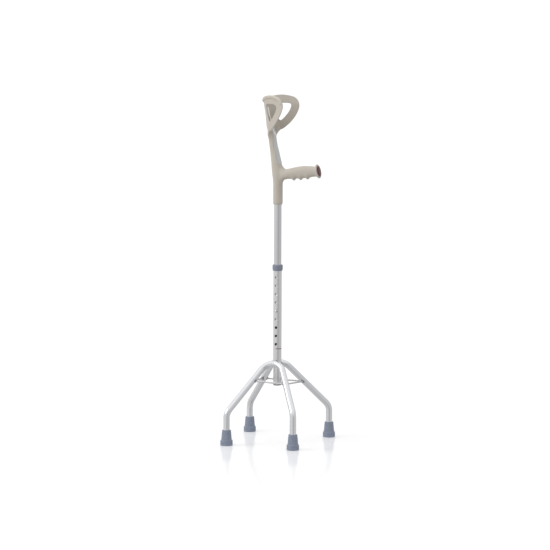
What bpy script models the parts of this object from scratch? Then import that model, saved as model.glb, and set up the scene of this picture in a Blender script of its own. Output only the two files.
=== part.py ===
"""Forearm crutch on a four-legged base.

A lower tube with a row of adjustment holes stands on two bent leg hoops with
rubber ferrules. An upper tube slides in it and is held by a sprung button.
The upper tube carries a one-piece moulding: sleeve, hand grip, stem and an
open-looped forearm cuff, with a metal insert in the stem's front channel.

Lengths are written in millimetres and turned into metres as meshes are made.
The stem axis is vertical. +X is the way the hand grip points, +Y is the
user's left, z = 0 is the ground under the ferrules.
"""

import math

import bmesh
import bpy
from mathutils import Matrix, Vector

MM = 0.001
GAP = 0.3  # clearance between pieces that touch

# ---- where things stand ----
STEM_X = 10.0  # the stem axis, ahead of the middle of the footprint
HOLE_PITCH = 25.0
BUTTON_Z = 392.5  # the fifth hole from the top holds the button
HOLES_ABOVE, HOLES_BELOW = 4, 4

# ---- tubes ----
LOWER_R, LOWER_BORE = 12.5, 11.3
LOWER_Z = (171.0, 527.0)
UPPER_R, UPPER_BORE = 11.0, 9.8
UPPER_Z = (352.0, 797.0)
HOLE_R = 4.1

# ---- base ----
LEG_R, LEG_BORE = 9.5, 8.1
FOOT_Y = 129.0
RIGHT_FEET_X = (-110.5, 99.5)  # rear, front
LEFT_FEET_X = (-138.5, 118.5)
RIGHT_BEND_Z = (96.0, 106.0)
LEFT_BEND_Z = (88.0, 95.0)
HOOP_TOP_Z = 235.0
HOOP_TOP_X = -3.0
HOOP_BEND_R = {"right": 37.0, "left": 34.0}
LEG_BEND_R = 36.0
ROD_R = 2.4
ROD_Z = {"right_rear": 186.0, "right_front": 183.0, "left_front": 174.0, "left_rear": 176.5}

# ---- ferrules ----
FERRULE_H = 45.6
FERRULE_BASE_R, FERRULE_CONE_R, FERRULE_TOP_R = 18.5, 15.8, 13.0
FERRULE_BASE_H = 15.5
FERRULE_FLOOR = 6.5
WASHER_T = 1.5

# ---- collar ----
COLLAR_Z = (512.0, 530.0)
COLLAR_R = 15.3

# ---- moulding ----
SLEEVE_Z = 709.0
SLEEVE_R = 13.8
STEM_HALF_W = 12.0
CHANNEL_HALF_W = 9.5
WEB = 3.0  # plastic behind the insert
INSERT_WALL = 4.2
GRIP_HALF_W = 15.5
FLANGE_R = 21.0
FLANGE_TILT = math.radians(12.8)
FLANGE_AT = (128.2, 811.3)
CUFF_T = 4.0
CUFF_TURN = math.radians(5.0)  # the cuff is turned about a vertical, left loop forward
CUFF_PIVOT_X = -16.0


# ------------------------------------------------------------------ helpers
def clear_scene():
    for obj in list(bpy.data.objects):
        bpy.data.objects.remove(obj, do_unlink=True)


def material(name, rgb, roughness, metallic=0.0):
    mat = bpy.data.materials.new(name)
    mat.use_nodes = True
    shader = mat.node_tree.nodes["Principled BSDF"]
    shader.inputs["Base Color"].default_value = (*rgb, 1.0)
    shader.inputs["Roughness"].default_value = roughness
    shader.inputs["Metallic"].default_value = metallic
    mat.diffuse_color = (*rgb, 1.0)
    return mat


def group(name, at, parent=None):
    empty = bpy.data.objects.new(name, None)
    empty.empty_display_size = 0.03
    empty.location = Vector(at) * MM
    bpy.context.scene.collection.objects.link(empty)
    empty.parent = parent
    return empty


def finish(name, bm, mat, parent, at=(0, 0, 0), sharp=40):
    """Makes the named object from mesh data given in mm around the point `at` of its parent."""
    bmesh.ops.remove_doubles(bm, verts=bm.verts, dist=1e-6)
    bmesh.ops.recalc_face_normals(bm, faces=bm.faces)
    mesh = bpy.data.meshes.new(name)
    bm.to_mesh(mesh)
    bm.free()
    mesh.materials.append(mat)
    mesh.shade_smooth()
    mesh.set_sharp_from_angle(angle=math.radians(sharp))
    obj = bpy.data.objects.new(name, mesh)
    obj.location = Vector(at) * MM
    bpy.context.scene.collection.objects.link(obj)
    obj.parent = parent
    return obj


def helper(obj):
    """A cutter or a shape joined into another object: never a piece of its own."""
    obj.hide_render = True
    obj.display_type = "WIRE"
    return obj


def boolean(obj, other, operation):
    modifier = obj.modifiers.new(operation.capitalize(), "BOOLEAN")
    modifier.operation = operation
    modifier.object = other


def skin(bm, rings, loop=False):
    """Joins closed rings of points into one surface, with flat ends or, with loop, back to the first ring."""
    rows = [[bm.verts.new(Vector(p) * MM) for p in ring] for ring in rings]
    for a, b in list(zip(rows, rows[1:])) + ([(rows[-1], rows[0])] if loop else []):
        for i in range(len(a)):
            j = (i + 1) % len(a)
            bm.faces.new((a[i], a[j], b[j], b[i]))
    if not loop:
        bm.faces.new(list(reversed(rows[0])))
        bm.faces.new(rows[-1])


def turned(bm, profile, steps, closed=False):
    """Spins a profile of (radius, height) about the vertical: closed for a ring, open from axis to axis for a solid."""
    verts = [bm.verts.new(Vector((r, 0, z)) * MM) for r, z in profile]
    pairs = list(zip(verts, verts[1:])) + ([(verts[-1], verts[0])] if closed else [])
    edges = [bm.edges.new(pair) for pair in pairs]
    bmesh.ops.spin(
        bm,
        geom=verts + edges,
        cent=(0, 0, 0),
        axis=(0, 0, 1),
        angle=2 * math.pi,
        steps=steps,
        use_merge=True,
    )
    bmesh.ops.remove_doubles(bm, verts=bm.verts, dist=1e-6)


def along(path):
    """A frame at each point of a path that doesn't twist: (point, side, up)."""
    points = [Vector(p) for p in path]
    frames = []
    side = None
    for i, p in enumerate(points):
        ahead = (points[min(i + 1, len(points) - 1)] - points[max(i - 1, 0)]).normalized()
        if side is None:
            side = ahead.orthogonal().normalized()
        side = (side - ahead * side.dot(ahead)).normalized()
        frames.append((p, side.copy(), ahead.cross(side)))
    return frames


def pipe_rings(path, radius, steps):
    turn = 2 * math.pi / steps
    return [
        [p + (s * math.cos(k * turn) + u * math.sin(k * turn)) * radius for k in range(steps)]
        for p, s, u in along(path)
    ]


def pipe(bm, path, outer, bore, steps):
    """A tube along a path, open at both ends, or a rod where bore is None."""
    rings = pipe_rings(path, outer, steps)
    if bore is None:
        skin(bm, rings)
    else:
        skin(bm, rings + pipe_rings(path, bore, steps)[::-1], loop=True)


def bent(points, radii, most=math.radians(13)):
    """The path of a bent tube: straights between the points, an arc of each radius at the corners."""
    path = [Vector(points[0])]
    for i, radius in enumerate(radii):
        before, corner, after = (Vector(points[i + k]) for k in range(3))
        u, v = (before - corner).normalized(), (after - corner).normalized()
        half = u.angle(v) / 2
        centre = corner + (u + v).normalized() * (radius / math.sin(half))
        start = corner + u * (radius / math.tan(half)) - centre
        stop = corner + v * (radius / math.tan(half)) - centre
        axis = start.cross(stop).normalized()
        turn = math.pi - 2 * half
        steps = max(2, math.ceil(turn / most))
        for k in range(steps + 1):
            path.append(centre + Matrix.Rotation(turn * k / steps, 3, axis) @ start)
    path.append(Vector(points[-1]))
    return path


def curve_through(knots, x):
    """Smooth value at x through (x, value) knots, by Hermite pieces, level beyond the ends."""
    if x <= knots[0][0]:
        return knots[0][1]
    if x >= knots[-1][0]:
        return knots[-1][1]
    i = max(k for k in range(len(knots) - 1) if knots[k][0] <= x)

    def slope(k):
        lo, hi = max(k - 1, 0), min(k + 1, len(knots) - 1)
        return (knots[hi][1] - knots[lo][1]) / (knots[hi][0] - knots[lo][0])

    (x0, y0), (x1, y1) = knots[i], knots[i + 1]
    h = x1 - x0
    t = (x - x0) / h
    return (
        y0 * (2 * t**3 - 3 * t**2 + 1)
        + slope(i) * h * (t**3 - 2 * t**2 + t)
        + y1 * (3 * t**2 - 2 * t**3)
        + slope(i + 1) * h * (t**3 - t**2)
    )


# --------------------------------------------------------------------- base
def hoop_path(side):
    """From the rear foot up over the bend beside the stem and down to the front foot."""
    sign = -1 if side == "right" else 1
    feet = RIGHT_FEET_X if side == "right" else LEFT_FEET_X
    bends = RIGHT_BEND_Z if side == "right" else LEFT_BEND_Z
    radius = HOOP_BEND_R[side]
    low = FERRULE_FLOOR + WASHER_T + GAP
    rear, front = (Vector((x, sign * FOOT_Y, z)) for x, z in zip(feet, bends))
    top = Vector((HOOP_TOP_X, sign * (LOWER_R + LEG_R + 0.5), HOOP_TOP_Z))
    corner = top.copy()
    for _ in range(12):  # the corner that the top bend rounds off to reach just `top`
        u, v = (rear - corner).normalized(), (front - corner).normalized()
        half = u.angle(v) / 2
        corner = top - (u + v).normalized() * radius * (1 / math.sin(half) - 1)
    ends = [Vector((p.x, p.y, low)) for p in (rear, front)]
    return bent([ends[0], rear, corner, front, ends[1]], [LEG_BEND_R, radius, LEG_BEND_R])


def on_limb(path, z, front):
    """The point of a hoop's centre line at height z on its front or rear limb."""
    for a, b in zip(path, path[1:]):
        if (b.z - a.z) * (-1 if front else 1) > 0 and min(a.z, b.z) <= z <= max(a.z, b.z):
            return a.lerp(b, (z - a.z) / (b.z - a.z))
    raise ValueError("no such height on the limb")


def base(parent, mats):
    paths = {side: hoop_path(side) for side in ("right", "left")}
    outers = {}
    for side, path in paths.items():
        bm = bmesh.new()
        pipe(bm, path, LEG_R, LEG_BORE, 16)
        finish(side + "_leg_hoop", bm, mats["leg"], parent)
        bm = bmesh.new()
        pipe(bm, path, LEG_R + GAP, None, 16)
        outers[side] = helper(finish("cut_" + side + "_hoop", bm, mats["leg"], parent))

    # weld that joins each hoop's top bend to the tube
    bm = bmesh.new()
    pipe(bm, [(0, 0, 150), (0, 0, 300)], LOWER_R + GAP, None, 32)
    stem_cut = helper(finish("cut_stem", bm, mats["leg"], parent))
    for side, sign in (("right", -1), ("left", 1)):
        bm = bmesh.new()
        bmesh.ops.create_cube(
            bm,
            size=1,
            matrix=Matrix.Translation(Vector((-1.0, sign * 15.5, HOOP_TOP_Z)) * MM)
            @ Matrix.Diagonal((0.021, 0.009, 0.019, 1)),
        )
        bmesh.ops.bevel(
            bm, geom=bm.edges[:], offset=0.003, segments=2, affect="EDGES", profile=0.5
        )
        weld = finish(side + "_hoop_weld", bm, mats["weld"], parent)
        boolean(weld, stem_cut, "DIFFERENCE")
        boolean(weld, outers[side], "DIFFERENCE")

    # four thin rods tie the limbs into a ring
    ends = {key: on_limb(paths[key.split("_")[0]], z, key.endswith("front")) for key, z in ROD_Z.items()}
    for name, a, b in (
        ("right_brace_rod", "right_rear", "right_front"),
        ("front_brace_rod", "right_front", "left_front"),
        ("left_brace_rod", "left_front", "left_rear"),
        ("rear_brace_rod", "left_rear", "right_rear"),
    ):
        bm = bmesh.new()
        pipe(bm, [ends[a], ends[b]], ROD_R, None, 10)
        rod = finish(name, bm, mats["leg"], parent)
        for side in {a.split("_")[0], b.split("_")[0]}:
            boolean(rod, outers[side], "DIFFERENCE")

    # ferrules, each with a steel washer under the tube's end
    for side, sign, feet in (("right", -1, RIGHT_FEET_X), ("left", 1, LEFT_FEET_X)):
        for place, x in zip(("rear", "front"), feet):
            at = (x, sign * FOOT_Y, 0)
            bm = bmesh.new()
            turned(
                bm,
                [
                    (0, 0),
                    (FERRULE_BASE_R - 1.0, 0),
                    (FERRULE_BASE_R, 1.2),
                    (FERRULE_BASE_R - 0.3, FERRULE_BASE_H - 1.5),
                    (FERRULE_BASE_R - 1.4, FERRULE_BASE_H),
                    (FERRULE_CONE_R, FERRULE_BASE_H + 0.4),
                    (FERRULE_TOP_R + 0.2, FERRULE_H - 1.2),
                    (FERRULE_TOP_R - 0.8, FERRULE_H),
                    (LEG_R + GAP, FERRULE_H),
                    (LEG_R + GAP, FERRULE_FLOOR),
                    (0, FERRULE_FLOOR),
                ],
                24,
            )
            finish(f"{side}_{place}_ferrule", bm, mats["rubber"], parent, at)
            bm = bmesh.new()
            low, high = FERRULE_FLOOR + 0.15, FERRULE_FLOOR + WASHER_T
            turned(bm, [(3, low), (9.3, low), (9.3, high), (3, high)], 16, closed=True)
            finish(f"{side}_{place}_ferrule_washer", bm, mats["steel"], parent, at)

    # lower tube with its row of holes on the right-hand side
    bm = bmesh.new()
    pipe(bm, [(0, 0, LOWER_Z[0]), (0, 0, LOWER_Z[1])], LOWER_R, LOWER_BORE, 32)
    tube = finish("lower_tube", bm, mats["aluminium"], parent)
    bm = bmesh.new()
    for k in range(-HOLES_BELOW, HOLES_ABOVE + 1):
        z = BUTTON_Z + k * HOLE_PITCH
        pipe(bm, [(0, -20, z), (0, -4, z)], HOLE_R, None, 14)
    holes = helper(finish("cut_holes", bm, mats["aluminium"], parent))
    boolean(tube, holes, "DIFFERENCE")

    # plug that closes the lower tube's bottom end
    bm = bmesh.new()
    z = LOWER_Z[0]
    turned(
        bm,
        [(0, z - 2.5), (11.2, z - 2.5), (12.2, z - 1.5), (12.2, z - GAP), (LOWER_BORE - GAP, z - GAP),
         (LOWER_BORE - GAP - 0.2, z + 14), (8.5, z + 14), (8.5, z + 1), (0, z + 1)],
        24,
    )
    finish("lower_tube_plug", bm, mats["dark"], parent)

    # guide collar over the lower tube's top end
    bm = bmesh.new()
    low, high = COLLAR_Z
    fit = LOWER_R + GAP
    turned(
        bm,
        [(fit, low), (13.8, low), (14.3, low + 0.5), (14.8, low + 3.9), (COLLAR_R, low + 5), (COLLAR_R, high - 1.4),
         (COLLAR_R - 1.2, high), (UPPER_R + GAP, high), (UPPER_R + GAP, LOWER_Z[1] + GAP), (fit, LOWER_Z[1] + GAP)],
        28,
        closed=True,
    )
    finish("guide_collar", bm, mats["rubber"], parent)


# ------------------------------------------------------------ upper section
# (height, x of the back), (height, x of the insert's front) and (height, x of the channel's lips)
BACK = [(700, -13.8), (768, -13.8), (785, -15.2), (797, -17.2), (820, -19.5), (832, -20.2), (853, -22.3),
        (877, -25.1), (900, -28.4), (918, -31.0), (930, -31.5), (938, -32.3), (947, -33.3), (959, -34.4), (971, -35.5),
        (983, -37.5), (995, -40.1), (1006, -41.8)]
FRONT = [(826, 12.7), (841, 9.1), (853, 5.8), (871, 1.4), (882, -1.7), (894, -4.2), (906, -6.0), (918, -7.4),
         (930, -11.0), (950, -15.5)]
LIPS = [(822, 13.4), (828, 10.6), (833, 6.0), (840, 0.8), (849, -1.6), (858, -3.4), (867, -6.0), (876, -9.0), (885, -11.2),
        (894, -11.6), (905, -11.6), (918, -12.0), (929, -12.8), (938, -16.0), (950, -21.5), (962, -26.6), (974, -31.7),
        (998, -40.9), (1003, -42.4)]
SHELL_BACK = [(925, -32.6), (936, -33.4), (947, -35.1), (959, -36.3), (971, -37.4), (983, -39.0), (995, -41.6),
              (1006, -43.3), (1020, -45.0), (1034, -46.2)]
# half of the cuff seen from above at its widest: (y, x)
PLAN = [(0, -43.3), (9, -41.6), (17.5, -37.6), (25, -31.0), (31.5, -22.0), (36.5, -12.0), (41.5, 0.0), (46.0, 10.0),
        (50.2, 20.0), (54.3, 30.0), (58.5, 41.0), (60.5, 46.0)]
# a loop of the cuff seen from the side: (x, z) on its outer edge, and the point of the opening's edge nearest to it
LOOP = [((-36, 933.6), (-15.6, 961.0)), ((-22, 931.4), (-13.4, 958.9)), ((-7.5, 931.5), (-8.6, 957.6)),
        ((4.3, 939.6), (-4.4, 960.6)), ((16.7, 954.4), (-0.2, 965.6)), ((26.7, 968.4), (6.2, 973.5)),
        ((34.3, 980.2), (12.2, 982.5)), ((39.4, 991.2), (16.6, 991.5)), ((41.9, 1001), (18.8, 998.8)),
        ((40.2, 1011.6), (18.4, 1003.8)), ((34.4, 1021.4), (15.0, 1007.0)), ((24.6, 1028.0), (9.5, 1008.0)),
        ((10.5, 1031.6), (2.5, 1008.2)), ((-4.0, 1033.4), (-5.5, 1008.1)), ((-18, 1032.6), (-13.0, 1007.6)),
        ((-28, 1030.0), (-18.6, 1006.2)), ((-36, 1026.6), (-21.4, 1003.0)), ((-36, 1003), (-22.2, 997.5)),
        ((-36, 985), (-21.8, 988)), ((-36, 967), (-21.2, 977.5)), ((-36, 950), (-18.7, 968.5))]
JUNCTION_X = -36


def closed_curve(points, parts):
    """Catmull-Rom points round a closed list, `parts` to each span."""
    n = len(points)
    out = []
    for i in range(n):
        p0, p1, p2, p3 = (Vector(points[(i + k) % n]) for k in (-1, 0, 1, 2))
        for s in range(parts):
            t = s / parts
            out.append(
                0.5 * ((2 * p1) + (p2 - p0) * t + (2 * p0 - 5 * p1 + 4 * p2 - p3) * t**2 + (3 * p1 - p0 - 3 * p2 + p3) * t**3)
            )
    return out


def section(z, lips):
    """One level of the stem: rounded back and sides, flat between the lips of the front channel."""
    back = curve_through(BACK, z)
    front = curve_through(FRONT, z) if z > 826 else SLEEVE_R + 1.2 * min(max((z - 790) / 30, 0), 1)
    width = SLEEVE_R + (STEM_HALF_W - SLEEVE_R) * min(max((z - 800) / 60, 0), 1)
    width -= 1.5 * min(max((z - 930) / 70, 0), 1)
    middle, half = (front + back) / 2, (front - back) / 2
    opening = math.radians(4)
    if lips:
        opening = math.acos(max(min((curve_through(LIPS, z) - middle) / half, 0.997), -0.93))
    count = 24
    power = 2.0 if z < 800 else 2.0 + 0.5 * min((z - 800) / 60, 1)
    ring = []
    for k in range(count + 1):
        a = opening + (2 * math.pi - 2 * opening) * k / count
        c, s = math.cos(a), math.sin(a)
        ring.append((
            middle + half * math.copysign(abs(c) ** (2 / power), c),
            width * math.copysign(abs(s) ** (2 / power), s),
            z,
        ))
    return ring


def insert_ring(z, extra=0.0, count=20, half_width=None):
    """One level of the metal insert, or of the channel that holds it."""
    back = curve_through(BACK, z) + WEB + GAP - extra
    front = (curve_through(FRONT, z) if z > 826 else 11.2 - 0.06 * (826 - z)) + extra
    front = min(front, 11.2 + extra) if z < 832 else front
    width = (half_width or CHANNEL_HALF_W - GAP) + extra
    middle, half = (front + back) / 2, (front - back) / 2
    return [
        (
            middle + half * math.copysign(abs(math.cos(a)) ** 0.8, math.cos(a)),
            width * math.copysign(abs(math.sin(a)) ** 0.8, math.sin(a)),
            z,
        )
        for a in (2 * math.pi * k / count for k in range(count))
    ]


def stem(parent, mats):
    bm = bmesh.new()
    rings = []
    for z, r in ((SLEEVE_Z, 11.6), (SLEEVE_Z + 1.2, 12.6), (SLEEVE_Z + 5, SLEEVE_R)):
        a = math.radians(4)
        rings.append([
            (r * math.cos(a + (2 * math.pi - 2 * a) * k / 24), r * math.sin(a + (2 * math.pi - 2 * a) * k / 24), z)
            for k in range(25)
        ])
    rings += [section(z, False) for z in (768, 785, 797, 810, 822)]
    rings += [section(z, True) for z in (826.5, 828.5, 841, 856, 871, 888, 904, 916, 926, 940, 956, 972, 988, 1001)]
    skin(bm, rings)
    return finish("handle_and_cuff", bm, mats["plastic"], parent)


def grip(parent, mats):
    """The hand grip: upright oval sections along X, then the tilted flange."""
    top = [(2, 818), (10, 823), (14.5, 823.5), (17.5, 819.6), (21, 816.6), (26, 815.1), (34, 816.2), (43.6, 818.6),
           (59, 822.2), (78, 825.3), (97, 825.8), (113, 825.0), (121, 825.0)]
    under = [(2, 776), (10, 771.5), (14.5, 774.0), (17.5, 779.6), (21, 782.8), (31, 785.6), (45.5, 785.6), (51, 781.4),
             (55.5, 785.9), (59.5, 788.0), (67.5, 786.8), (72.5, 783.4), (77.5, 787.8), (82.5, 789.6), (90, 789.0),
             (94, 785.8), (99, 790.8), (104, 792.8), (114, 794.8), (121, 795.4)]
    wide = [(2, 9.5), (12, 12.6), (22, 14.4), (36, GRIP_HALF_W), (100, GRIP_HALF_W), (118, 15.0)]
    rings = []
    for x in (2, 9, 14.5, 17.5, 21, 26, 33, 42, 47, 51, 55.5, 59.5, 67, 72.5, 77.5, 83, 90, 94, 99, 104, 109, 116):
        hi, lo, w = (curve_through(knots, x) for knots in (top, under, wide))
        rings.append([
            (x, w * math.sin(a), (hi + lo) / 2 + (hi - lo) / 2 * math.cos(a))
            for a in (2 * math.pi * k / 20 for k in range(20))
        ])
    out = Vector((math.cos(FLANGE_TILT), 0, math.sin(FLANGE_TILT)))
    up = Vector((-math.sin(FLANGE_TILT), 0, math.cos(FLANGE_TILT)))
    centre = Vector((FLANGE_AT[0], 0, FLANGE_AT[1]))
    for back, r in ((9.0, 15.2), (6.2, 17.2), (4.6, 20.2), (3.2, FLANGE_R), (1.0, FLANGE_R), (0.0, 20.0)):
        rings.append([
            centre - out * back + up * (r * math.cos(a)) + Vector((0, 1, 0)) * (r * math.sin(a))
            for a in (2 * math.pi * k / 20 for k in range(20))
        ])
    bm = bmesh.new()
    skin(bm, rings)
    return helper(finish("shape_grip", bm, mats["plastic"], parent))


def cuff_point(x, z, side, y=None):
    """Outer surface of the cuff: x and z as in LOOP, side -1 right or 1 left, or a y within the back strip."""
    if y is None:
        y = side * curve_through([(px, py) for py, px in PLAN], x)
    else:
        x = curve_through(PLAN, abs(y))
    t = min(max((x + 8) / (-34 + 8), 0), 1)
    x += (curve_through(SHELL_BACK, z) - PLAN[0][1]) * t * t * (3 - 2 * t)
    return Vector((x, y, z))


def cuff(parent, mats):
    """The forearm cuff: a back strip with a looped wing each side, one sheet given its thickness."""
    bm = bmesh.new()
    parts, depth = 2, 3
    outer = closed_curve([p for p, _ in LOOP], parts)
    inner = closed_curve([q for _, q in LOOP], parts)
    first = 16 * parts  # the junction runs from here up the list's end and on to its start
    for k in range(first, len(outer)):
        outer[k].x = JUNCTION_X
    line = {}
    for side in (-1, 1):
        rows = []
        for d in range(depth + 1):
            row = []
            for p, q in zip(outer, inner):
                m = p.lerp(q, d / depth)
                row.append(bm.verts.new(cuff_point(m.x, m.y, side) * MM))
            rows.append(row)
        n = len(outer)
        for a, b in zip(rows, rows[1:]):
            for i in range(n):
                j = (i + 1) % n
                bm.faces.new((a[i], a[j], b[j], b[i]))
        line[side] = [rows[0][k % n] for k in range(first, n + 1)]
    across = 6
    edge_y = abs(line[1][0].co.y / MM)
    rows = [line[-1]]
    for k in range(1, across):
        y = -edge_y + 2 * edge_y * k / across
        rows.append([
            bm.verts.new(cuff_point(0, v.co.z / MM - (3.5 if i == 0 else 0) * (1 - abs(y) / edge_y), 0, y) * MM)
            for i, v in enumerate(line[-1])
        ])
    rows.append(line[1])
    for a, b in zip(rows, rows[1:]):
        for i in range(len(a) - 1):
            bm.faces.new((a[i], a[i + 1], b[i + 1], b[i]))
    bmesh.ops.recalc_face_normals(bm, faces=bm.faces)
    # an open sheet can come out facing either way: its back has to face backwards
    bm.faces.ensure_lookup_table()
    rear = min(bm.faces, key=lambda f: f.calc_center_median().x)
    if rear.normal.x > 0:
        bmesh.ops.reverse_faces(bm, faces=bm.faces[:])
    mesh = bpy.data.meshes.new("shape_cuff")
    bm.to_mesh(mesh)
    bm.free()
    mesh.materials.append(mats["plastic"])
    obj = bpy.data.objects.new("shape_cuff", mesh)
    obj.parent = parent
    obj.location = Vector((CUFF_PIVOT_X, 0, 0)) * MM
    obj.rotation_euler = (0, 0, -CUFF_TURN)
    mesh.transform(Matrix.Translation(Vector((-CUFF_PIVOT_X, 0, 0)) * MM))
    bpy.context.scene.collection.objects.link(obj)
    solid = obj.modifiers.new("Wall", "SOLIDIFY")
    solid.thickness = CUFF_T * MM
    solid.offset = -1
    solid.use_even_offset = True
    return helper(obj)


def channel_cutter(parent, mats):
    """The space for the insert, carried on up between the two ribs inside the cuff."""
    rings = [insert_ring(z, GAP) for z in (802.7, 815, 826, 834, 841, 856, 871, 888, 904, 916, 926, 946)]
    for z in (958, 972, 988, 1001, 1008):
        t = min((z - 946) / 55, 1)
        back = curve_through(BACK, z) + WEB
        front = max(curve_through(LIPS, z) + 12, back + 14)
        width = CHANNEL_HALF_W - 2.5 * t
        middle, half = (front + back) / 2, (front - back) / 2
        rings.append([
            (
                middle + half * math.copysign(abs(math.cos(a)) ** 0.8, math.cos(a)),
                width * math.copysign(abs(math.sin(a)) ** 0.8, math.sin(a)),
                z,
            )
            for a in (2 * math.pi * k / 20 for k in range(20))
        ])
    bm = bmesh.new()
    skin(bm, rings)
    return helper(finish("cut_channel", bm, mats["plastic"], parent))


def upper_section(parent, mats):
    moulding = stem(parent, mats)
    boolean(moulding, grip(parent, mats), "UNION")
    boolean(moulding, cuff(parent, mats), "UNION")
    boolean(moulding, channel_cutter(parent, mats), "DIFFERENCE")
    bm = bmesh.new()
    pipe(bm, [(0, 0, 690), (0, 0, UPPER_Z[1] + GAP)], UPPER_R + GAP, None, 32)
    boolean(moulding, helper(finish("cut_bore", bm, mats["plastic"], parent)), "DIFFERENCE")
    # socket in the grip's end for the cap: a seat in the flange and a hole for the spigot
    turn = Matrix.Rotation(math.pi / 2 - FLANGE_TILT, 4, "Y")
    end = Matrix.Translation(Vector((FLANGE_AT[0], 0, FLANGE_AT[1])) * MM) @ turn
    bm = bmesh.new()
    turned(bm, [(0, -16), (9.6, -16), (9.6, -2.6), (18.0, -2.6), (18.0, 6), (0, 6)], 24)
    bm.transform(end)
    boolean(moulding, helper(finish("cut_grip_end", bm, mats["plastic"], parent)), "DIFFERENCE")

    # metal insert: an oval tube with a slanting top end
    bm = bmesh.new()
    outer = [insert_ring(z) for z in (803, 815, 826, 834, 841, 856, 871, 888, 904, 916, 926, 941)]
    inner = []
    for ring in outer:
        cx = (max(p[0] for p in ring) + min(p[0] for p in ring)) / 2
        hx = (max(p[0] for p in ring) - min(p[0] for p in ring)) / 2
        kx, ky = (hx - INSERT_WALL) / hx, (CHANNEL_HALF_W - GAP - INSERT_WALL) / (CHANNEL_HALF_W - GAP)
        inner.append([(cx + (x - cx) * kx, y * ky, z) for x, y, z in ring])
    skin(bm, outer + inner[::-1], loop=True)
    insert = finish("stem_insert", bm, mats["aluminium"], parent)
    bm = bmesh.new()
    bmesh.ops.create_cube(
        bm,
        size=1,
        matrix=Matrix.Translation(Vector((-12.6, 0, 929.7)) * MM)
        @ Matrix.Rotation(math.atan(2.75), 4, "Y")
        @ Matrix.Translation(Vector((0, 0, 40)) * MM)
        @ Matrix.Diagonal((0.12, 0.06, 0.08, 1)),
    )
    boolean(insert, helper(finish("cut_insert_top", bm, mats["aluminium"], parent)), "DIFFERENCE")

    # grip end: a carrier ring with a spigot, and the round reflector set in it
    bm = bmesh.new()
    turned(
        bm,
        [(0, -13), (8.6, -13), (9.3, -12), (9.3, -2.3), (17.6, -2.3), (17.7, 0.2), (16.6, 0.9), (15.7, 0.9),
         (15.7, -0.7), (0, -0.7)],
        24,
    )
    bm.transform(end)
    finish("grip_end_cap", bm, mats["plastic"], parent)
    bm = bmesh.new()
    turned(bm, [(0, -0.4), (15.4, -0.4), (15.4, 0.7), (13.5, 1.3), (8, 1.9), (0, 2.2)], 24)
    bm.transform(end)
    finish("grip_end_reflector", bm, mats["maroon"], parent)

    # upper tube with the button's hole
    bm = bmesh.new()
    pipe(bm, [(0, 0, UPPER_Z[0]), (0, 0, UPPER_Z[1])], UPPER_R, UPPER_BORE, 32)
    tube = finish("upper_tube", bm, mats["aluminium"], parent)
    bm = bmesh.new()
    pipe(bm, [(0, -20, BUTTON_Z), (0, -4, BUTTON_Z)], HOLE_R, None, 14)
    boolean(tube, helper(finish("cut_button_hole", bm, mats["aluminium"], parent)), "DIFFERENCE")

    # bush that fills the gap at the upper tube's lower end
    bm = bmesh.new()
    z = UPPER_Z[0]
    turned(
        bm,
        [(6.5, z - 3.2), (10.4, z - 3.2), (11.0, z - 2.6), (11.0, z - GAP), (UPPER_BORE - GAP, z - GAP),
         (UPPER_BORE - GAP - 0.3, z + 12), (6.5, z + 12)],
        24,
        closed=True,
    )
    finish("upper_tube_bush", bm, mats["dark"], parent)

    # leaf spring behind the button: a strip folded into a narrow U
    bm = bmesh.new()
    half, t = 4.0, 0.8
    y0, y1, top = -6.8, 8.3, 436.0
    line = [(y0, BUTTON_Z - 7.5), (y0, top - 12)]
    line += [
        ((y0 + y1) / 2 - (y1 - y0) / 2 * math.cos(a), top - 12 + (y1 - y0) / 2 * math.sin(a))
        for a in (math.pi * k / 10 for k in range(1, 10))
    ]
    line += [(y1, top - 12), (y1, BUTTON_Z - 7.5)]
    inner_line = [(y0 + t, BUTTON_Z - 7.5), (y0 + t, top - 12)]
    inner_line += [
        ((y0 + y1) / 2 - ((y1 - y0) / 2 - t) * math.cos(a), top - 12 + ((y1 - y0) / 2 - t) * math.sin(a))
        for a in (math.pi * k / 10 for k in range(1, 10))
    ]
    inner_line += [(y1 - t, top - 12), (y1 - t, BUTTON_Z - 7.5)]
    outline = line + inner_line[::-1]
    low = [bm.verts.new(Vector((-half, y, z)) * MM) for y, z in outline]
    face = bm.faces.new(low)
    moved = bmesh.ops.extrude_face_region(bm, geom=[face])
    bmesh.ops.translate(
        bm, verts=[v for v in moved["geom"] if isinstance(v, bmesh.types.BMVert)], vec=Vector((2 * half, 0, 0)) * MM
    )
    finish("button_spring", bm, mats["steel"], parent)


def button(parent, mats):
    """The sprung button, turned about its own axis, which lies along Y."""
    bm = bmesh.new()
    dome = [(3.3 * math.cos(a), 13.2 + 2.2 * math.sin(a)) for a in (math.pi / 2 * k / 5 for k in range(5))]
    turned(bm, [(0, 7.1), (4.6, 7.1), (4.6, 8.3), (3.3, 8.3)] + dome + [(0, 15.4)], 16)
    bm.transform(Matrix.Rotation(math.pi / 2, 4, "X"))
    finish("snap_button", bm, mats["steel"], parent)


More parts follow.
